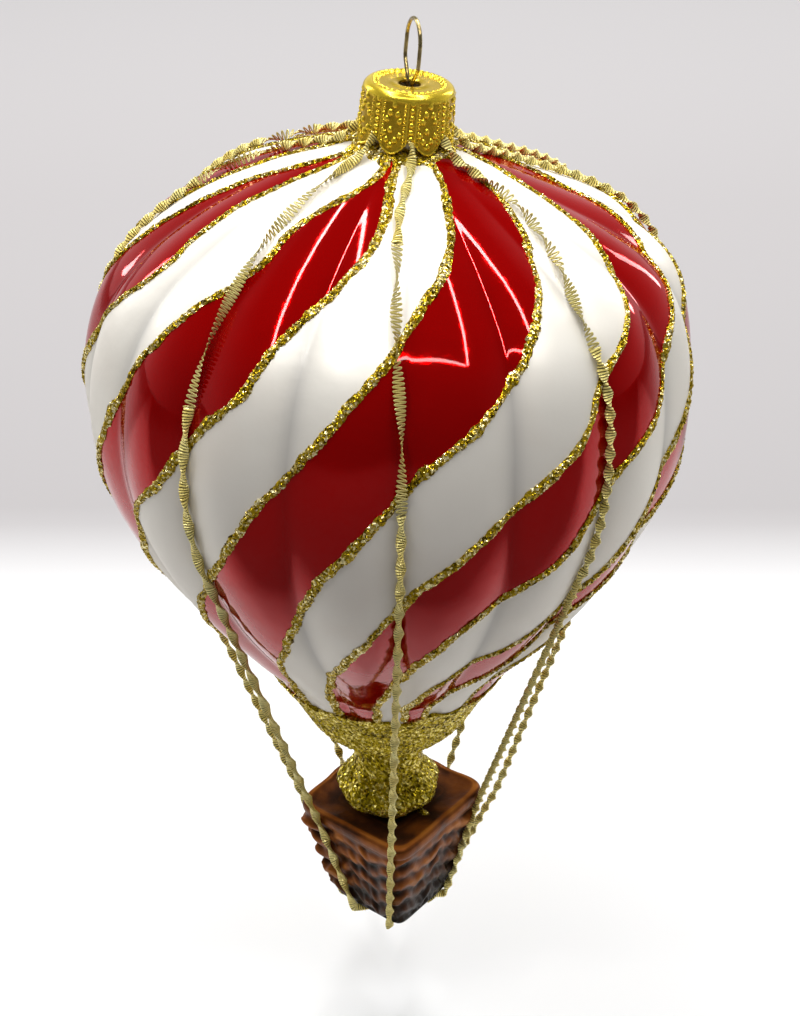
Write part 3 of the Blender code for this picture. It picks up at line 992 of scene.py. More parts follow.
@dataclass(frozen=True)
class LowerGlass:
    """The glittered cup, its stem, and the bead of glue at its foot."""

    glass: GlassForm
    cup_mm: tuple = (
        # (radius, height)
        (18.45, -43.1), (17.3, -45.0), (14.7, -49.0), (12.8, -52.6), (11.6, -54.6), (9.6, -56.8),
        (7.2, -58.4), (5.4, -59.2),
    )
    neck_mm: tuple = ((5.1, -59.0), (5.1, -66.4))
    neck_lump: float = 0.06 * MM
    bead_mm: tuple = (
        # (radius, height)
        (5.2, -65.6), (5.9, -66.5), (7.1, -67.8), (7.65, -69.1), (7.1, -70.4), (5.9, -71.3),
        (4.8, -72.1),
    )
    bead_lump: float = 0.22 * MM
    lumps: tuple = ((1.0, 7, 0.7), (0.6, 3, 1.9))
    cell: float = 0.34 * MM
    grit: float = 0.15 * MM
    front_drop: float = 2.5 * MM
    drop_waves: tuple = ((0.22, 9, 1), (0.2, 16, 0))
    hidden_edge: tuple = (0.6 * MM, 0.35 * MM)
    spill_seed: int = 3
    spill_grid: tuple = (9, 18)
    spill_r: float = 6.9 * MM
    spill_azimuth: float = radians(50.0)
    spill_z: float = -72.1 * MM
    spill_length: float = 1.3 * MM
    spill_width: float = 0.6 * MM
    spill_height: float = 0.75 * MM
    spill_grit: float = 0.06 * MM

    def crust(self, name: str, outline_mm: tuple, lump: float, replaced: str, drop: float = 0.0) -> None:
        """A turned form covered in flakes.

        Args:
            name: the piece's name.
            outline_mm: (radius, height) points.
            lump: how far the lumps of glue stand out.
            replaced: the node that it stands for.
            drop: how far down its slope the front of its upper edge starts.
        """
        outline = SmoothLine(np.array(outline_mm) * MM).evenly(self.cell)
        random = np.random.default_rng(len(name))
        columns = round(2 * pi * outline[:, 0].max() / self.cell)
        azimuth = turns(columns)
        rows = np.arange(len(outline))
        shape = (len(outline), columns)
        turn = azimuth[None] + scatter(random, shape, LOOSE * 2 * pi / columns)
        front = 0.5 + 0.5 * np.cos(azimuth) + waves(azimuth, self.drop_waves)
        share = np.linspace(0, 1, len(outline))[:, None]
        at = rows[:, None] + (1 - share) ** 2 * front[None] * drop / self.cell
        r = np.interp(at, rows, outline[:, 0]) + lump * waves(azimuth, self.lumps)[None]
        r = r + scatter(random, shape, self.grit)
        z = np.interp(at, rows, outline[:, 1]) + scatter(random, shape, 0.35 * self.cell)
        inward, up = self.hidden_edge
        turn = np.vstack([turn[:1], turn])
        r = np.vstack([r[:1] - inward, r])
        z = np.vstack([z[:1] + up, z])
        points = ground(turn) * r[..., None] - self.glass.hanging_point
        points[..., 2] += z
        surface = Surface(name, Body.BALLOON, Shading.FACETED)
        surface.grid(points, ends=True)
        surface.piece(GlitterCrust(), replaced)

    def spill(self) -> None:
        """A small clot of glitter on the basket's dish, beside the bead."""
        random = np.random.default_rng(self.spill_seed)
        rows, columns = self.spill_grid
        share = np.linspace(0.02, 1, rows)[:, None]
        turn = turns(columns)
        along = self.spill_length * share * np.cos(turn) + scatter(random, self.spill_grid, self.spill_grit)
        across = self.spill_width * share * np.sin(turn) + scatter(random, self.spill_grid, self.spill_grit)
        up = self.spill_height * np.sqrt(1 - share**2)
        up = up + scatter(random, self.spill_grid, 0.05 * MM)
        outward = ground(self.spill_azimuth)
        sideways = ground(self.spill_azimuth + pi / 2)
        points = outward * (self.spill_r + along[..., None]) + sideways * across[..., None]
        points = points - self.glass.hanging_point
        points[..., 2] += self.spill_z + up
        surface = Surface("spilt_glitter", Body.BALLOON, Shading.FACETED)
        surface.grid(points, ends=True)
        surface.piece(GlitterCrust())

    def build(self) -> None:
        """Cup, stem, bead and the clot beside it."""
        self.crust("collar_glitter", self.cup_mm, 0.0, "collar", self.front_drop)
        self.crust("neck_glitter", self.neck_mm, self.neck_lump, "neck")
        self.crust("bead_glitter", self.bead_mm, self.bead_lump, "glue_bead")
        self.spill()


@dataclass(frozen=True)
class CrownCap(Rowed):
    """The crown cap of embossed tinplate."""

    glass: GlassForm
    top_r: float = 5.75 * MM
    hem_r: float = 6.15 * MM
    top: float = 7.45 * MM
    hem: float = -0.05 * MM
    wall: float = 0.27 * MM
    round: float = 1.1 * MM
    round_steps: int = 7
    hole_r: float = 1.4 * MM
    petals: int = 8
    notch_azimuth: float = radians(5.0)
    notch_height: float = 2.2 * MM
    emboss: float = 0.26 * MM
    sunk: float = 0.12 * MM
    flute: float = 0.06 * MM
    pearls_mm: tuple = (
        # (across the petal, height)
        (0.0, 6.1), (-0.55, 5.1), (0.5, 5.0), (-0.95, 4.25), (0.85, 4.2), (-0.35, 3.0), (-1.2, 2.5),
        (0.95, 2.4), (-0.75, 1.75), (0.35, 1.75), (-0.2, 1.1),
    )
    pearl_mm: float = 0.36
    dot_mm: float = 0.2
    bead_pitch: float = 0.88
    dot_pitch: float = 0.52
    plain_above_mm: float = 6.7
    columns: int = 480
    side_rows: int = 76
    top_rings_mm: tuple = (4.6, 1.6, -0.1)
    top_beads: int = 36
    top_bead_r: float = 4.2 * MM
    top_bead_height: float = 0.22 * MM
    dish_r: float = 4.5 * MM
    dish_depth: float = 0.2 * MM
    lip_r: float = 2.1 * MM
    lip_height: float = 0.12 * MM

    def across(self, azimuth: np.ndarray) -> np.ndarray:
        """Distance in mm from the middle of a petal."""
        pitch = 2 * pi / self.petals
        return (np.mod(azimuth - self.notch_azimuth, pitch) - pitch / 2) * self.hem_r / MM

    @property
    def half_petal(self) -> float:
        """Half of a petal's width in mm."""
        return pi * self.hem_r / MM / self.petals

    def hem_at(self, azimuth: np.ndarray) -> np.ndarray:
        """Height of the hem, each petal pointed."""
        return self.hem + self.notch_height * (np.abs(self.across(azimuth)) / self.half_petal) ** 1.8

    def side_relief(self, azimuth: np.ndarray, h: np.ndarray) -> np.ndarray:
        """Height of the embossing on the side, from 0 to 1."""
        x = self.across(azimuth)
        y = h / MM
        edge = self.half_petal - np.abs(x)
        bead_y = np.mod(y + self.dot_mm, self.bead_pitch) - self.bead_pitch / 2
        dot_y = np.mod(y, self.dot_pitch) - self.dot_pitch / 2
        relief = self.dome(edge, bead_y, self.pearl_mm)
        relief = np.maximum(relief, 0.6 * self.dome(edge - 0.95, dot_y, self.dot_mm))
        relief = np.maximum(relief, 0.5 * np.exp(-(((edge - 0.6) / 0.13) ** 2)))
        for place_x, place_y in self.pearls_mm:
            relief = np.maximum(relief, self.dome(x - place_x, (y - place_y) * 0.85, self.pearl_mm))
        rim = np.exp(-(((h - self.hem_at(azimuth)) / MM - 0.15) ** 2) / 0.02)
        return np.maximum(relief, 0.5 * rim) * smoothstep((self.plain_above_mm - y) / 0.4)

    @staticmethod
    def dome(x: np.ndarray, y: np.ndarray, radius: float) -> np.ndarray:
        """A round bump of height 1."""
        return np.sqrt(np.clip(1 - (x**2 + y**2) / radius**2, 0, None))

    def side(self, azimuth: np.ndarray, hem: np.ndarray) -> list[np.ndarray]:
        """Rows from the hem up to the rounded edge."""
        rows = []
        shoulder = self.top - self.round
        flute = np.cos(self.petals * (azimuth - self.notch_azimuth)) * self.flute
        for share in np.linspace(0, 1, self.side_rows):
            h = hem + (shoulder - hem) * share
            r = self.hem_r + (self.top_r - self.hem_r) * (h - self.hem) / (shoulder - self.hem)
            relief = self.side_relief(azimuth, h)
            rows.append(self.row(r + relief * self.emboss - self.sunk - flute * (1 - share), h, relief))
        return rows

    def upper(self, azimuth: np.ndarray) -> list[np.ndarray]:
        """Rows over the rounded edge and the beaded, dished top to the hole."""
        rows = []
        for turn in np.linspace(0.15, 1.0, self.round_steps) * pi / 2:
            ring = self.top_r - self.round + self.round * cos(turn)
            height = self.top - self.round + self.round * sin(turn)
            # relief here sets only the colour: painted highlight growing over the rounded edge towards the
            # top
            rows.append(self.row(ring, height, 0.45 + 0.3 * sin(turn)))
        beads = np.abs(np.cos(self.top_beads / 2 * azimuth)) ** 1.2
        for ring in np.arange(*self.top_rings_mm) * MM:
            bumps = self.dome((ring - self.top_bead_r) / MM, 0 * azimuth, 0.4) * beads
            dish = self.dish_depth * smoothstep((self.dish_r - ring) / (0.6 * MM))
            lip = self.lip_height * np.exp(-(((ring - self.lip_r) / (0.4 * MM)) ** 2))
            # relief here also sets the colour: painted highlight on the top's beads
            rows.append(self.row(ring, self.top - dish + lip + bumps * self.top_bead_height, 0.25 + bumps))
        # the hole's edge gets relief 0: painted shade
        return rows + [self.row(self.hole_r, self.top - 0.3 * MM, 0.0)]

    def build(self) -> None:
        """Side, rounded edge and top, with the inside a wall's thickness behind them."""
        azimuth = turns(self.columns)
        hem = self.hem_at(azimuth)
        ceiling = self.top - self.wall - 0.35 * MM
        low_r = self.hem_r - self.wall - 0.1 * MM
        low_r = low_r + (self.top_r - self.hem_r) * (hem - self.hem) / (self.top - self.round)
        # relief 0 inside: painted shade
        inside = [
            self.row(self.hole_r, ceiling, 0.0),
            self.row(self.top_r - self.wall - 0.2 * MM, ceiling, 0.0),
            self.row(low_r, hem, 0.0),
        ]
        r, h, relief = np.stack(self.side(azimuth, hem) + self.upper(azimuth) + inside, axis=1)
        points = ground(azimuth)[None] * r[..., None]
        points[..., 2] = h
        surface = Surface("crown_cap", Body.CAP, Shading.CREASED)
        surface.grid(self.glass.tilted(points), along=True, relief=relief)
        surface.piece(EmbossedGold(), "cap")


@dataclass(frozen=True)
class Hanger:
    """The sprung wire loop."""

    glass: GlassForm
    wire_r: float = 0.25 * MM
    wire_sides: int = 12
    loop_r: float = 2.9 * MM
    straight: float = 2.35 * MM
    bend: float = 1.1 * MM
    turn: float = radians(15.0)
    cap_top: float = 7.2 * MM
    gap: float = 0.3 * MM
    cap_wall: float = 0.27 * MM
    at_hole: float = 1.1 * MM
    spread: float = 3.1 * MM
    sprung: tuple = (2.2 * MM, 4.6 * MM)
    spread_from: float = 2.0 * MM
    tip: float = -5.0 * MM
    tip_bend: float = 1.5 * MM
    spacing: float = 0.12 * MM

    def half(self) -> list[tuple[float, float]]:
        """(sideways, up) points from the loop's top down to a leg's tip."""
        centre = self.glass.loop_top + self.wire_r - self.loop_r
        arc = [(self.loop_r * sin(k * pi / 12), centre + self.loop_r * cos(k * pi / 12)) for k in range(1, 7)]
        return arc + [
            (self.loop_r, centre - self.straight),
            (0.72 * self.loop_r, centre - self.straight - self.bend),
            (self.at_hole, self.cap_top + self.gap),
            (self.at_hole, self.cap_top - 2 * self.cap_wall),
            self.sprung,
            (self.spread, self.spread_from),
            (self.spread, self.tip + self.tip_bend),
            (0.75 * self.spread, self.tip),
        ]

    def build(self) -> None:
        """One bent wire."""
        right = self.half()
        left = [(-x, y) for x, y in reversed(right)]
        line = np.array(left + [(0.0, self.glass.loop_top + self.wire_r)] + right)
        smooth = SmoothLine(line).evenly(self.spacing)
        points = smooth[:, :1] * ground(pi + self.turn)
        points[:, 2] = smooth[:, 1]
        surface = Surface("hanger_loop", Body.HANGER, Shading.CREASED)
        surface.tube(self.glass.tilted(points), self.wire_r, self.wire_sides)
        surface.piece(DrawnWire(), "hanger_wire")


@dataclass(frozen=True)
class Basket(Rowed):
    """The tapered basket in moulded wicker."""

    glass: GlassForm
    rim: float = -71.4 * MM
    base: float = -91.3 * MM
    shift: float = 0.4 * MM
    half_top: float = 10.5 * MM
    half_base: float = 6.4 * MM
    power: float = 9.0
    floor: float = 0.62 * MM
    widest: float = 1.3 * MM
    lip: float = 2.2 * MM
    turn: float = radians(5.9)
    tilt: float = radians(1.5)
    rows: int = 5
    row_steps: int = 22
    columns: int = 384
    weaves: int = 3
    relief_depth: float = 0.55 * MM
    knob: float = 1.0 * MM
    knob_power: int = 24
    rim_waver: float = 0.12 * MM
    rim_waves: tuple = ((1.0, 5, 0.4), (0.6, 11, 2.0))
    row_waves: tuple = ((0.2, 3, 0.5), (0.2, 7, 1.3), (0.09, 17, 0.0))
    edge_mm: tuple = (
        # (in from the widest, down from the rim)
        (4.4, 0.6), (2.8, 0.45), (1.6, 0.24), (0.85, 0.02), (0.4, 0.08), (0.1, 0.45), (0.0, 1.0),
        (0.1, 1.7), (0.3, 2.2),
    )
    base_rows: tuple = (
        # (share of the base's width, height over it in mm)
        (0.97, 0.25), (0.9, 0.05), (0.8, 0.0), (0.4, 0.0), (0.002, 0.0),
    )

    def reach(self, azimuth: np.ndarray, half: np.ndarray) -> np.ndarray:
        """Distance from the axis to the side, with the corners rounded."""
        a = azimuth - self.turn + pi / 4
        return half * (np.abs(np.cos(a)) ** self.power + np.abs(np.sin(a)) ** self.power) ** (-1 / self.power)

    def half(self, z: np.ndarray | float) -> np.ndarray:
        """Half of the side over the rows at a height."""
        start = self.rim - self.widest
        return self.half_top + (self.half_base - self.half_top) * (start - z) / (start - self.base)

    def place(self, azimuth: np.ndarray, r: np.ndarray, z: np.ndarray) -> np.ndarray:
        """Points round the tilted basket, in the row frame."""
        azimuth, r, z = np.broadcast_arrays(azimuth, r, z)
        level = ground(azimuth) * r[..., None]
        level[..., 2] = z - self.rim
        turn = np.array(Matrix.Rotation(-self.tilt, 3, "Y"))
        return level @ turn.T + np.array([self.shift, 0, self.rim]) - self.glass.hanging_point

    def wicker(self, around: np.ndarray, z: float) -> np.ndarray:
        """Height of the woven relief from 0 to 1, the strands over and under in turn.

        Args:
            around: azimuths from a corner.
            z: height.

        Returns:
            The relief at each azimuth.
        """
        top = self.rim - self.lip
        bottom = self.base + 0.8 * MM
        across = (top - z) / (top - bottom) * self.rows + waves(around, self.row_waves)
        row = np.floor(across)
        strand = (0.5 - 0.5 * np.cos(2 * pi * across)) ** 0.8
        along = np.tan(np.mod(around, pi / 2) - pi / 4) * 0.5 + 0.5
        over = 0.5 + 0.5 * np.cos(pi * (self.weaves * along + row) + 0.7 * np.sin(2.3 * row + 1))
        lumps = 0.14 * np.sin(13 * around + 4 * across) + 0.12 * np.sin(29 * around - 5 * across + 2)
        worn = 0.8 + 0.2 * np.sin(5 * around + 2.2 * across + 0.8)
        return np.clip(0.15 + strand * (0.72 + 0.28 * over) * worn + lumps, 0, 1)

    def upper(self, azimuth: np.ndarray, around: np.ndarray) -> list[np.ndarray]:
        """Rows from the middle of the dish out over the rim."""
        rows = []
        for share in (0.002, 0.25, 0.45):
            middle = self.reach(azimuth, share * self.half_top)
            # the dish's middle gets painted shade beside the bead
            rows.append(self.row(middle, self.rim - self.floor, 0.2, 0.85))
        waver = self.rim_waver * waves(around, self.rim_waves)
        for inward, down in SmoothLine(np.array(self.edge_mm)).sampled(5):
            outer = smoothstep((3.0 - inward) / 2.0) if down < 1.0 else 1.0
            # crest: painted highlight line along the rim's crest
            crest = exp(-(((inward - 0.6) / 0.35) ** 2)) if down < 0.6 else 0.3
            # painted shade in the dish, darker inwards towards the bead
            shade = 0.6 * smoothstep((inward - 2.6) / 2.0) if down < 1.0 else 0.0
            r = self.reach(azimuth, self.half_top - inward * MM) + waver * 0.8 * outer
            rows.append(self.row(r, self.rim - down * MM + waver * 0.7 * outer, 0.4 + 0.9 * crest, shade))
        return rows

    def sides(self, azimuth: np.ndarray, around: np.ndarray) -> list[np.ndarray]:
        """Woven rows from under the rim down to the base, with knobs at two corners."""
        rows = []
        start = self.rim - self.lip
        corners = np.clip(np.cos(around + pi / 2), 0, 1) ** self.knob_power
        corners = corners + 0.5 * np.clip(np.cos(around - pi / 2), 0, 1) ** self.knob_power
        # share towards the right, where more shade is painted
        side = 0.5 + 0.5 * np.sin(azimuth - radians(6))
        for z in np.linspace(start - 0.05 * MM, self.base + 0.7 * MM, self.rows * self.row_steps):
            fade = smoothstep((start - z) / (1.6 * MM))
            relief = self.wicker(around, z) * fade + 0.6 * (1 - fade)
            r = self.reach(azimuth, self.half(z) - self.relief_depth * (1 - relief))
            depth = (start - z) / (start - self.base)
            # painted shade, darker towards the base and to the right
            shade = smoothstep(depth * 1.25 + side * 0.35 - 0.45)
            rows.append(self.row(r + self.knob * corners * relief * fade, z, relief, shade))
        return rows

    def build(self) -> None:
        """Dish, rolled rim, woven sides and base in one closed mesh."""
        azimuth = self.turn + turns(self.columns)
        around = azimuth - self.turn
        rows = self.upper(azimuth, around) + self.sides(azimuth, around)
        for share, up in self.base_rows:
            # painted shade under the base
            rows.append(self.row(self.reach(azimuth, share * self.half_base), self.base + up * MM, 0.0, 1.0))
        r, z, relief, shade = np.stack(rows, axis=1)
        surface = Surface("basket_wicker", Body.BALLOON)
        surface.grid(self.place(azimuth[None], r, z), ends=True, relief=relief, shade=shade)
        surface.piece(BasketLacquer(), "basket")


@dataclass(frozen=True)
class Coil:
    """A ribbon of fine wire, crimped close, and pulled open to a zigzag in places."""

    half_width: float = 0.67 * MM
    ridge: float = 0.36 * MM
    ridge_height: float = 0.29 * MM
    groove_height: float = 0.1 * MM
    slant: float = 0.05 * MM
    section: tuple = (
        # (across, out of the ribbon's plane)
        (1, 0), (0.75, 0.7), (0, 1), (-0.75, 0.7), (-1, 0), (-0.75, -0.7), (0, -1), (0.75, -0.7),
    )
    ridge_waves: tuple = ((0.5, 0.31, 0.0), (0.3, 0.83, 0.0))
    zigzag: float = 0.64 * MM
    zigzag_waves: tuple = ((0.14, 1 / (5 * MM), 0.0), (0.1, 1 / (1.9 * MM), 0.0))
    wire_width: float = 0.24 * MM
    wire_depth: float = 0.16 * MM
    steps_per_zigzag: int = 12
    # crest of the pulled-open wire: it gets half of the painted crimp shade
    open_crest: float = 0.5
    lap: int = 4

    def add_to(
        self,
        surface: Surface,
        line: np.ndarray,
        outward: np.ndarray,
        twist: np.ndarray,
        opened: tuple[float, float],
    ) -> None:
        """Lays the ribbon along a line.

        Args:
            surface: the mesh that takes it.
            line: centre points, evenly spaced.
            outward: the side that faces away from the glass, for each point.
            twist: turn of the ribbon about the line at each point.
            opened: where the part that is pulled open begins and ends, in metres along the line.
        """
        along = unit(np.gradient(line, axis=0))
        face = unit(outward - along * np.sum(outward * along, axis=1, keepdims=True))
        side = np.cross(along, face)
        wide = side * np.cos(twist)[:, None] + face * np.sin(twist)[:, None]
        deep = face * np.cos(twist)[:, None] - side * np.sin(twist)[:, None]
        rows = np.hstack([line, along, wide, deep])
        spacing = np.linalg.norm(line[1] - line[0])
        start, end = (round(run / spacing) for run in opened)
        if end > start:
            self.crimped(surface, rows[: start + self.lap], spacing)
            self.pulled_open(surface, rows[start:end], spacing)
        self.crimped(surface, rows[max(0, end - self.lap) :], spacing)

    @staticmethod
    def sample(rows: np.ndarray, at: np.ndarray) -> np.ndarray:
        """Centre, direction, wide and deep vectors at places along the rows."""
        index = np.arange(len(rows))
        drawn = np.stack([np.interp(at, index, rows[:, k]) for k in range(rows.shape[1])], axis=1)
        return drawn.reshape(len(at), 4, 3).transpose(1, 0, 2)

    def crimped(self, surface: Surface, rows: np.ndarray, spacing: float) -> None:
        """The closed part: a flat ribbon with a ridge for each turn of the wire."""
        count = 3 * round(len(rows) * spacing / self.ridge) + 1
        step = np.arange(count)
        at = step * (len(rows) - 1) / (count - 1) + waves(step, self.ridge_waves)
        middle, along, wide, deep = self.sample(rows, np.sort(at))
        # crest: 1 on ridge rows and 0 on groove rows, which the material paints with shade
        crest = (step % 3 > 0).astype(float)[:, None]
        half = self.half_width * (0.85 + 0.15 * crest + 0.03 * np.sin(step * 1.7)[:, None])
        thick = self.groove_height + (self.ridge_height - self.groove_height) * crest
        ring = [middle + wide * half * x + deep * thick * y + along * self.slant * x for x, y in self.section]
        surface.grid(np.stack(ring, axis=1), ends=True, crest=crest)

    def pulled_open(self, surface: Surface, rows: np.ndarray, spacing: float) -> None:
        """The part that is pulled open, a single wire to and fro."""
        runs = np.arange(len(rows)) * spacing
        passed = np.cumsum(spacing / (self.zigzag * (1 + waves(runs, self.zigzag_waves))))
        phase = np.arange(passed[0], passed[-1], 1 / self.steps_per_zigzag)
        middle, along, wide, deep = self.sample(rows, np.interp(phase, passed, np.arange(len(rows))))
        swing = np.sin(2 * pi * phase)[:, None]
        travel = np.cos(2 * pi * phase)[:, None]
        line = middle + wide * (swing * (1.15 - 0.15 * swing**2)) * self.half_width
        stroke = unit(wide * travel * 2 * pi * self.half_width + along * self.zigzag)
        across = np.cross(stroke, deep)
        half = 0.5 * self.wire_width
        thin = 0.5 * self.wire_depth
        corners = ((-half, 0.0), (-0.5 * half, thin), (0.5 * half, thin), (half, 0.0), (0.0, -thin))
        ring = [line + across * x + deep * y for x, y in corners]
        surface.grid(np.stack(ring, axis=1), ends=True, crest=np.full((1, 1), self.open_crest))


@dataclass(frozen=True)
class StayPath:
    """The way of one stay, its angles in degrees and its lengths in mm.

    over_glass holds its azimuths at the heights that Stays gives, rim and base its azimuths
    there. half_twist is the length of half a twist, stand_off its distance off the rim beyond
    the usual one, and opened says where along it the part that is pulled open begins and ends.
    """

    over_glass: tuple[float, ...]
    rim: float
    base: float
    half_twist: float
    stand_off: float = 0.0
    opened: tuple[float, float] = (0, 0)


class StayRoute(Enum):
    """Each stay's way, by the end of its node's name."""

    FRONT = StayPath((7, -1, -1, 0, 2, 2), 0, -5, 4.4, opened=(17, 52))
    FRONT_RIGHT = StayPath((52, 57, 48, 42, 42, 39), 88, 85, 2.6, opened=(8, 36))
    RIGHT = StayPath((97, 113, 114, 111, 105, 101), 99, 104, 2.4, stand_off=2.6)
    BACK_RIGHT = StayPath((138, 135, 134, 134, 134, 134), 128, 132, 2.6)
    BACK = StayPath((185, 184, 183, 182, 182, 183), 186, 184, 3.4, opened=(14, 30))
    BACK_LEFT = StayPath((-130, -127, -127, -129, -131, -134), -138, -138, 2.9, opened=(10, 20))
    LEFT = StayPath((-87, -101, -101, -98, -97, -101), -93, -93, 2.8, opened=(12, 25))
    FRONT_LEFT = StayPath((-42, -44, -42, -39, -38, -37), -64, -60, 5.5, opened=(8, 44))


@dataclass(frozen=True)
class Stays:
    """The eight crimped ribbons, the winding that they start from and the knot where they end."""

    glass: GlassForm
    basket: Basket
    coil: Coil
    heights_mm: tuple = (33.0, 30.0, 26.0, 20.0, 8.0, -20.0)
    spacing: float = 0.1 * MM
    off: float = 0.62 * MM
    start_mm: tuple = (
        # (radius, height over the crown)
        (5.2, 2.1), (5.9, 1.55), (6.7, 0.85),
    )
    start_r: float = 7.6 * MM
    end_r: float = 2.5 * MM
    first_end: float = radians(5.0)
    open_twist: float = 0.45
    winding_r: float = 5.05 * MM
    winding_z: float = 1.3 * MM
    winding_wire: float = 0.12 * MM
    winding_twists: int = 14
    knot_z: float = 1.5 * MM
    knot_r: float = 1.35 * MM
    knot_swing: float = 0.35 * MM
    knot_rise: float = 0.45 * MM
    knot_wire: float = 0.24 * MM
    strands: int = 3

    def azimuth(self, z: np.ndarray, keys: tuple) -> np.ndarray:
        """Azimuth of a stay at heights, from the smooth line through its given ones."""
        points = np.column_stack([np.array(self.heights_mm) * MM, np.radians(keys)])
        line = SmoothLine(points).sampled(6)[::-1]
        return np.interp(z, line[:, 0], line[:, 1])

    def over_glass(self, keys: tuple, rim_r: float) -> np.ndarray:
        """Points over the glass down to where the stay leaves it.

        Args:
            keys: its azimuths at the given heights.
            rim_r: radius of the rim point that it leaves for.

        Returns:
            Rows of positions in the row frame.
        """
        outline = self.glass.outline(2)
        along = outline[2:] - outline[:-2]
        normal = unit(np.column_stack([-along[:, 1], along[:, 0]]))
        stations = outline[1:-1] + normal * self.off
        stations = stations[(stations[:, 0] > self.start_r) | (stations[:, 1] < 0)]
        rim_z = self.basket.rim - self.basket.widest
        rows = [(r * MM, self.glass.crown_z + up * MM) for r, up in self.start_mm]
        flattest = 0.0
        for r, z in stations:
            if z < 0:
                lean_in = (r - rim_r) / (z - rim_z)
                if lean_in < flattest:
                    break
                flattest = lean_in
            rows.append((r, z))
        r, z = np.array(rows).T
        azimuth = self.azimuth(z, keys)
        return self.glass.place(self.glass.ribbed(r, azimuth), azimuth, z)

    def route(self, path: StayPath, end: float) -> np.ndarray:
        """Centre line of a stay.

        Args:
            path: its way.
            end: azimuth of its end under the base.

        Returns:
            Rows of positions in the row frame.
        """
        basket = self.basket
        rim, base = radians(path.rim), radians(path.base)
        rim_r = basket.reach(rim, basket.half_top) + self.off + path.stand_off * MM
        base_r = basket.reach(base, basket.half_base) + self.off
        glass = self.over_glass(path.over_glass, rim_r)
        at_rim = basket.place(rim, rim_r, basket.rim - basket.widest)
        foot = basket.place(base, base_r, basket.base + 0.4 * MM)
        free = [glass[-1] + (at_rim - glass[-1]) * t for t in (0.2, 0.4, 0.6, 0.8)]
        side = [at_rim + (foot - at_rim) * t for t in (0.0, 0.25, 0.5, 0.75, 1.0)]
        under = basket.base - self.off
        tuck = [
            basket.place(base, base_r - 0.25 * MM, basket.base - 0.35 * MM),
            basket.place(base, base_r - 0.9 * MM, under),
            basket.place(0.5 * (base + end), 0.6 * base_r, under),
            basket.place(end, self.end_r, under),
        ]
        return np.vstack([glass, free, side, tuck])

    def ribbon(self, index: int, name: str, path: StayPath) -> None:
        """One stay.

        Args:
            index: its place in the order round the ornament.
            name: its node's name.
            path: its way.
        """
        end = self.first_end + index * 2 * pi / len(StayRoute)
        if end > pi + 0.2:
            end -= 2 * pi
        line = SmoothLine(self.route(path, end)).evenly(self.spacing)
        runs = np.arange(len(line)) * self.spacing
        waver = waves(runs, ((0.48, 1 / (11 * MM), index), (0.3, 1 / (4.7 * MM), 2 * index)))
        opened = (path.opened[0] * MM, path.opened[1] * MM)
        rate = np.where((runs > opened[0]) & (runs < opened[1]), self.open_twist, 1.0)
        twist = np.cumsum(rate) * pi * self.spacing / (path.half_twist * MM) + waver
        surface = Surface(f"{name}_coil", Body.BALLOON, Shading.FACETED)
        outward = (line + self.glass.hanging_point) * np.array([1, 1, 0.6])
        self.coil.add_to(surface, line, unit(outward), twist, opened)
        surface.piece(CrimpedGold(), name)

    def winding(self) -> None:
        """Fine wire wound round the pipe under the cap."""
        surface = Surface("winding_turns", Body.BALLOON, Shading.CREASED)
        turn = turns(240)
        for start in (0.0, pi):
            twist = self.winding_twists * turn + start
            points = ground(turn) * (self.winding_r + self.winding_wire * np.cos(twist))[:, None]
            points[:, 2] = self.winding_z + self.winding_wire * np.sin(twist)
            surface.tube(self.glass.tilted(points), self.winding_wire, 6, closed=True)
        surface.piece(CrimpedGold(), "stay_winding")

    def knot(self) -> None:
        """The stays' ends, twisted together under the base."""
        surface = Surface("knot_turns", Body.BALLOON, Shading.CREASED)
        below = self.basket.base - self.knot_z
        turn = turns(160)
        for index in range(self.strands):
            twist = 3 * turn + index * 2 * pi / self.strands
            r = self.knot_r + self.knot_swing * np.cos(twist)
            z = below + self.knot_rise * np.sin(twist)
            surface.tube(self.basket.place(turn, r, z), self.knot_wire, 6, closed=True)
        surface.piece(CrimpedGold(), "stay_twist")

    def build(self) -> None:
        """All the stays, then the winding and the knot."""
        for index, route in enumerate(StayRoute):
            self.ribbon(index, f"stay_{route.name.lower()}", route.value)
        self.winding()
        self.knot()


@dataclass(frozen=True)
class Lamp:
    """A soft rectangular light."""

    name: str
    place: tuple[float, float, float]
    size: tuple[float, float]
    radiance: float
    turn: float | None = None

    def build(self) -> None:
        """Hangs it to shine straight down, turned about the vertical, or else to face the ornament."""
        data = bpy.data.lights.new(self.name, "AREA")
        data.shape = "RECTANGLE"
        data.size, data.size_y = self.size
        data.energy = self.radiance * pi * self.size[0] * self.size[1]
        obj = add_object(self.name, data)
        obj.location = self.place
        if self.turn is None:
            obj.rotation_euler = Vector(self.place).to_track_quat("Z", "Y").to_euler()
        else:
            obj.rotation_euler = (0, 0, self.turn)


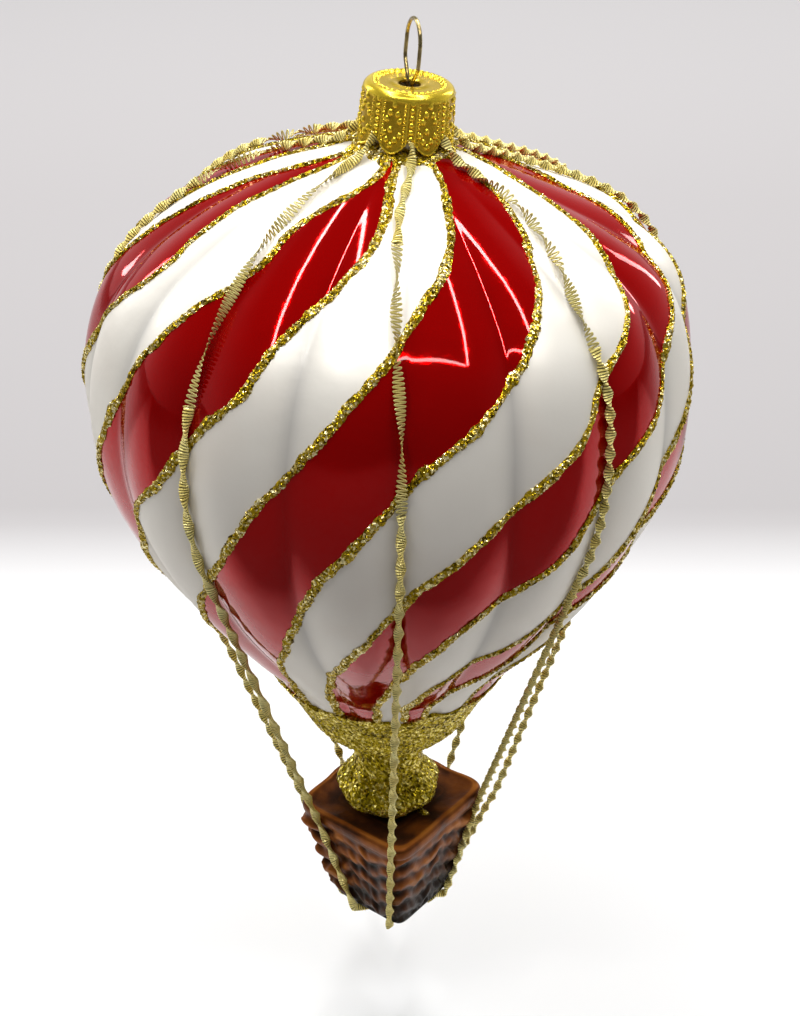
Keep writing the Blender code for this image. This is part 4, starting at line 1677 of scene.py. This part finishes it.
@dataclass(frozen=True)
class Studio:
    """Floor, soft lights and the camera."""

    camera_place: tuple = (-3.25 * MM, -222.6 * MM, 65.15 * MM)
    heading: float = radians(0.417)
    pitch: float = radians(-30.98)
    roll: float = 0.0039
    focal_px: float = 1861.0
    image_height: int = 1016
    sensor_mm: float = 36.0
    floor_z: float = -162.0 * MM
    floor_half: float = 6.0
    lamps: tuple[Lamp, ...] = (
        Lamp("left_tube", (-0.2, 0.1, 0.6), (0.029, 0.9), 54.0, radians(-19)),
        Lamp("right_tube", (0.22, 0.1, 0.6), (0.029, 0.9), 47.0, radians(21)),
        Lamp("cross_tube", (0.0, -0.33, 0.6), (0.7, 0.025), 33.0, 0.0),
        Lamp("right_panel", (0.62, 0.62, 0.3), (0.08, 0.45), 12.0),
        Lamp("left_panel", (-0.68, 0.5, 0.3), (0.08, 0.45), 12.0),
    )

    def floor(self) -> None:
        """A wide plane under the ornament."""
        half = self.floor_half
        mesh = bpy.data.meshes.new("floor")
        corners = [(-half, -half), (half, -half), (half, half), (-half, half)]
        mesh.from_pydata([(x, y, self.floor_z) for x, y in corners], [], [(0, 1, 2, 3)])
        mesh.materials.append(PaleFloor().material())
        obj = add_object("floor", mesh)

    def camera(self) -> None:
        """The camera where the view was taken from."""
        data = bpy.data.cameras.new("camera")
        data.sensor_width = self.sensor_mm
        data.lens = self.focal_px / self.image_height * data.sensor_width
        data.clip_start = 0.01
        forward = Vector((
            sin(self.heading) * cos(self.pitch),
            cos(self.heading) * cos(self.pitch),
            sin(self.pitch),
        ))
        right = Vector((cos(self.heading), -sin(self.heading), 0))
        up = right.cross(forward)
        right, up = right * cos(self.roll) + up * sin(self.roll), up * cos(self.roll) - right * sin(self.roll)
        turn = Matrix((right, up, -forward)).transposed().to_4x4()
        obj = add_object("camera", data)
        obj.matrix_world = Matrix.Translation(self.camera_place) @ turn
        bpy.context.scene.camera = obj

    def build(self) -> None:
        """Camera, floor, tubes overhead, a panel on each side, and a soft sky."""
        self.camera()
        self.floor()
        for lamp in self.lamps:
            lamp.build()
        bpy.context.scene.world = SoftSky().world()
        bpy.context.scene.view_settings.view_transform = "Standard"


def main() -> None:
    """Builds the ornament piece by piece, then the studio round it."""
    logging.basicConfig(level=logging.INFO, format="%(name)s: %(message)s")
    glass = GlassForm()
    envelope = Envelope(glass, Stripes(glass))
    envelope.body()
    envelope.glitter_lines()
    envelope.crown_glitter()
    LowerGlass(glass).build()
    CrownCap(glass).build()
    Hanger(glass).build()
    basket = Basket(glass)
    basket.build()
    Stays(glass, basket, Coil()).build()
    Studio().build()


if __name__ == "__main__":
    main()
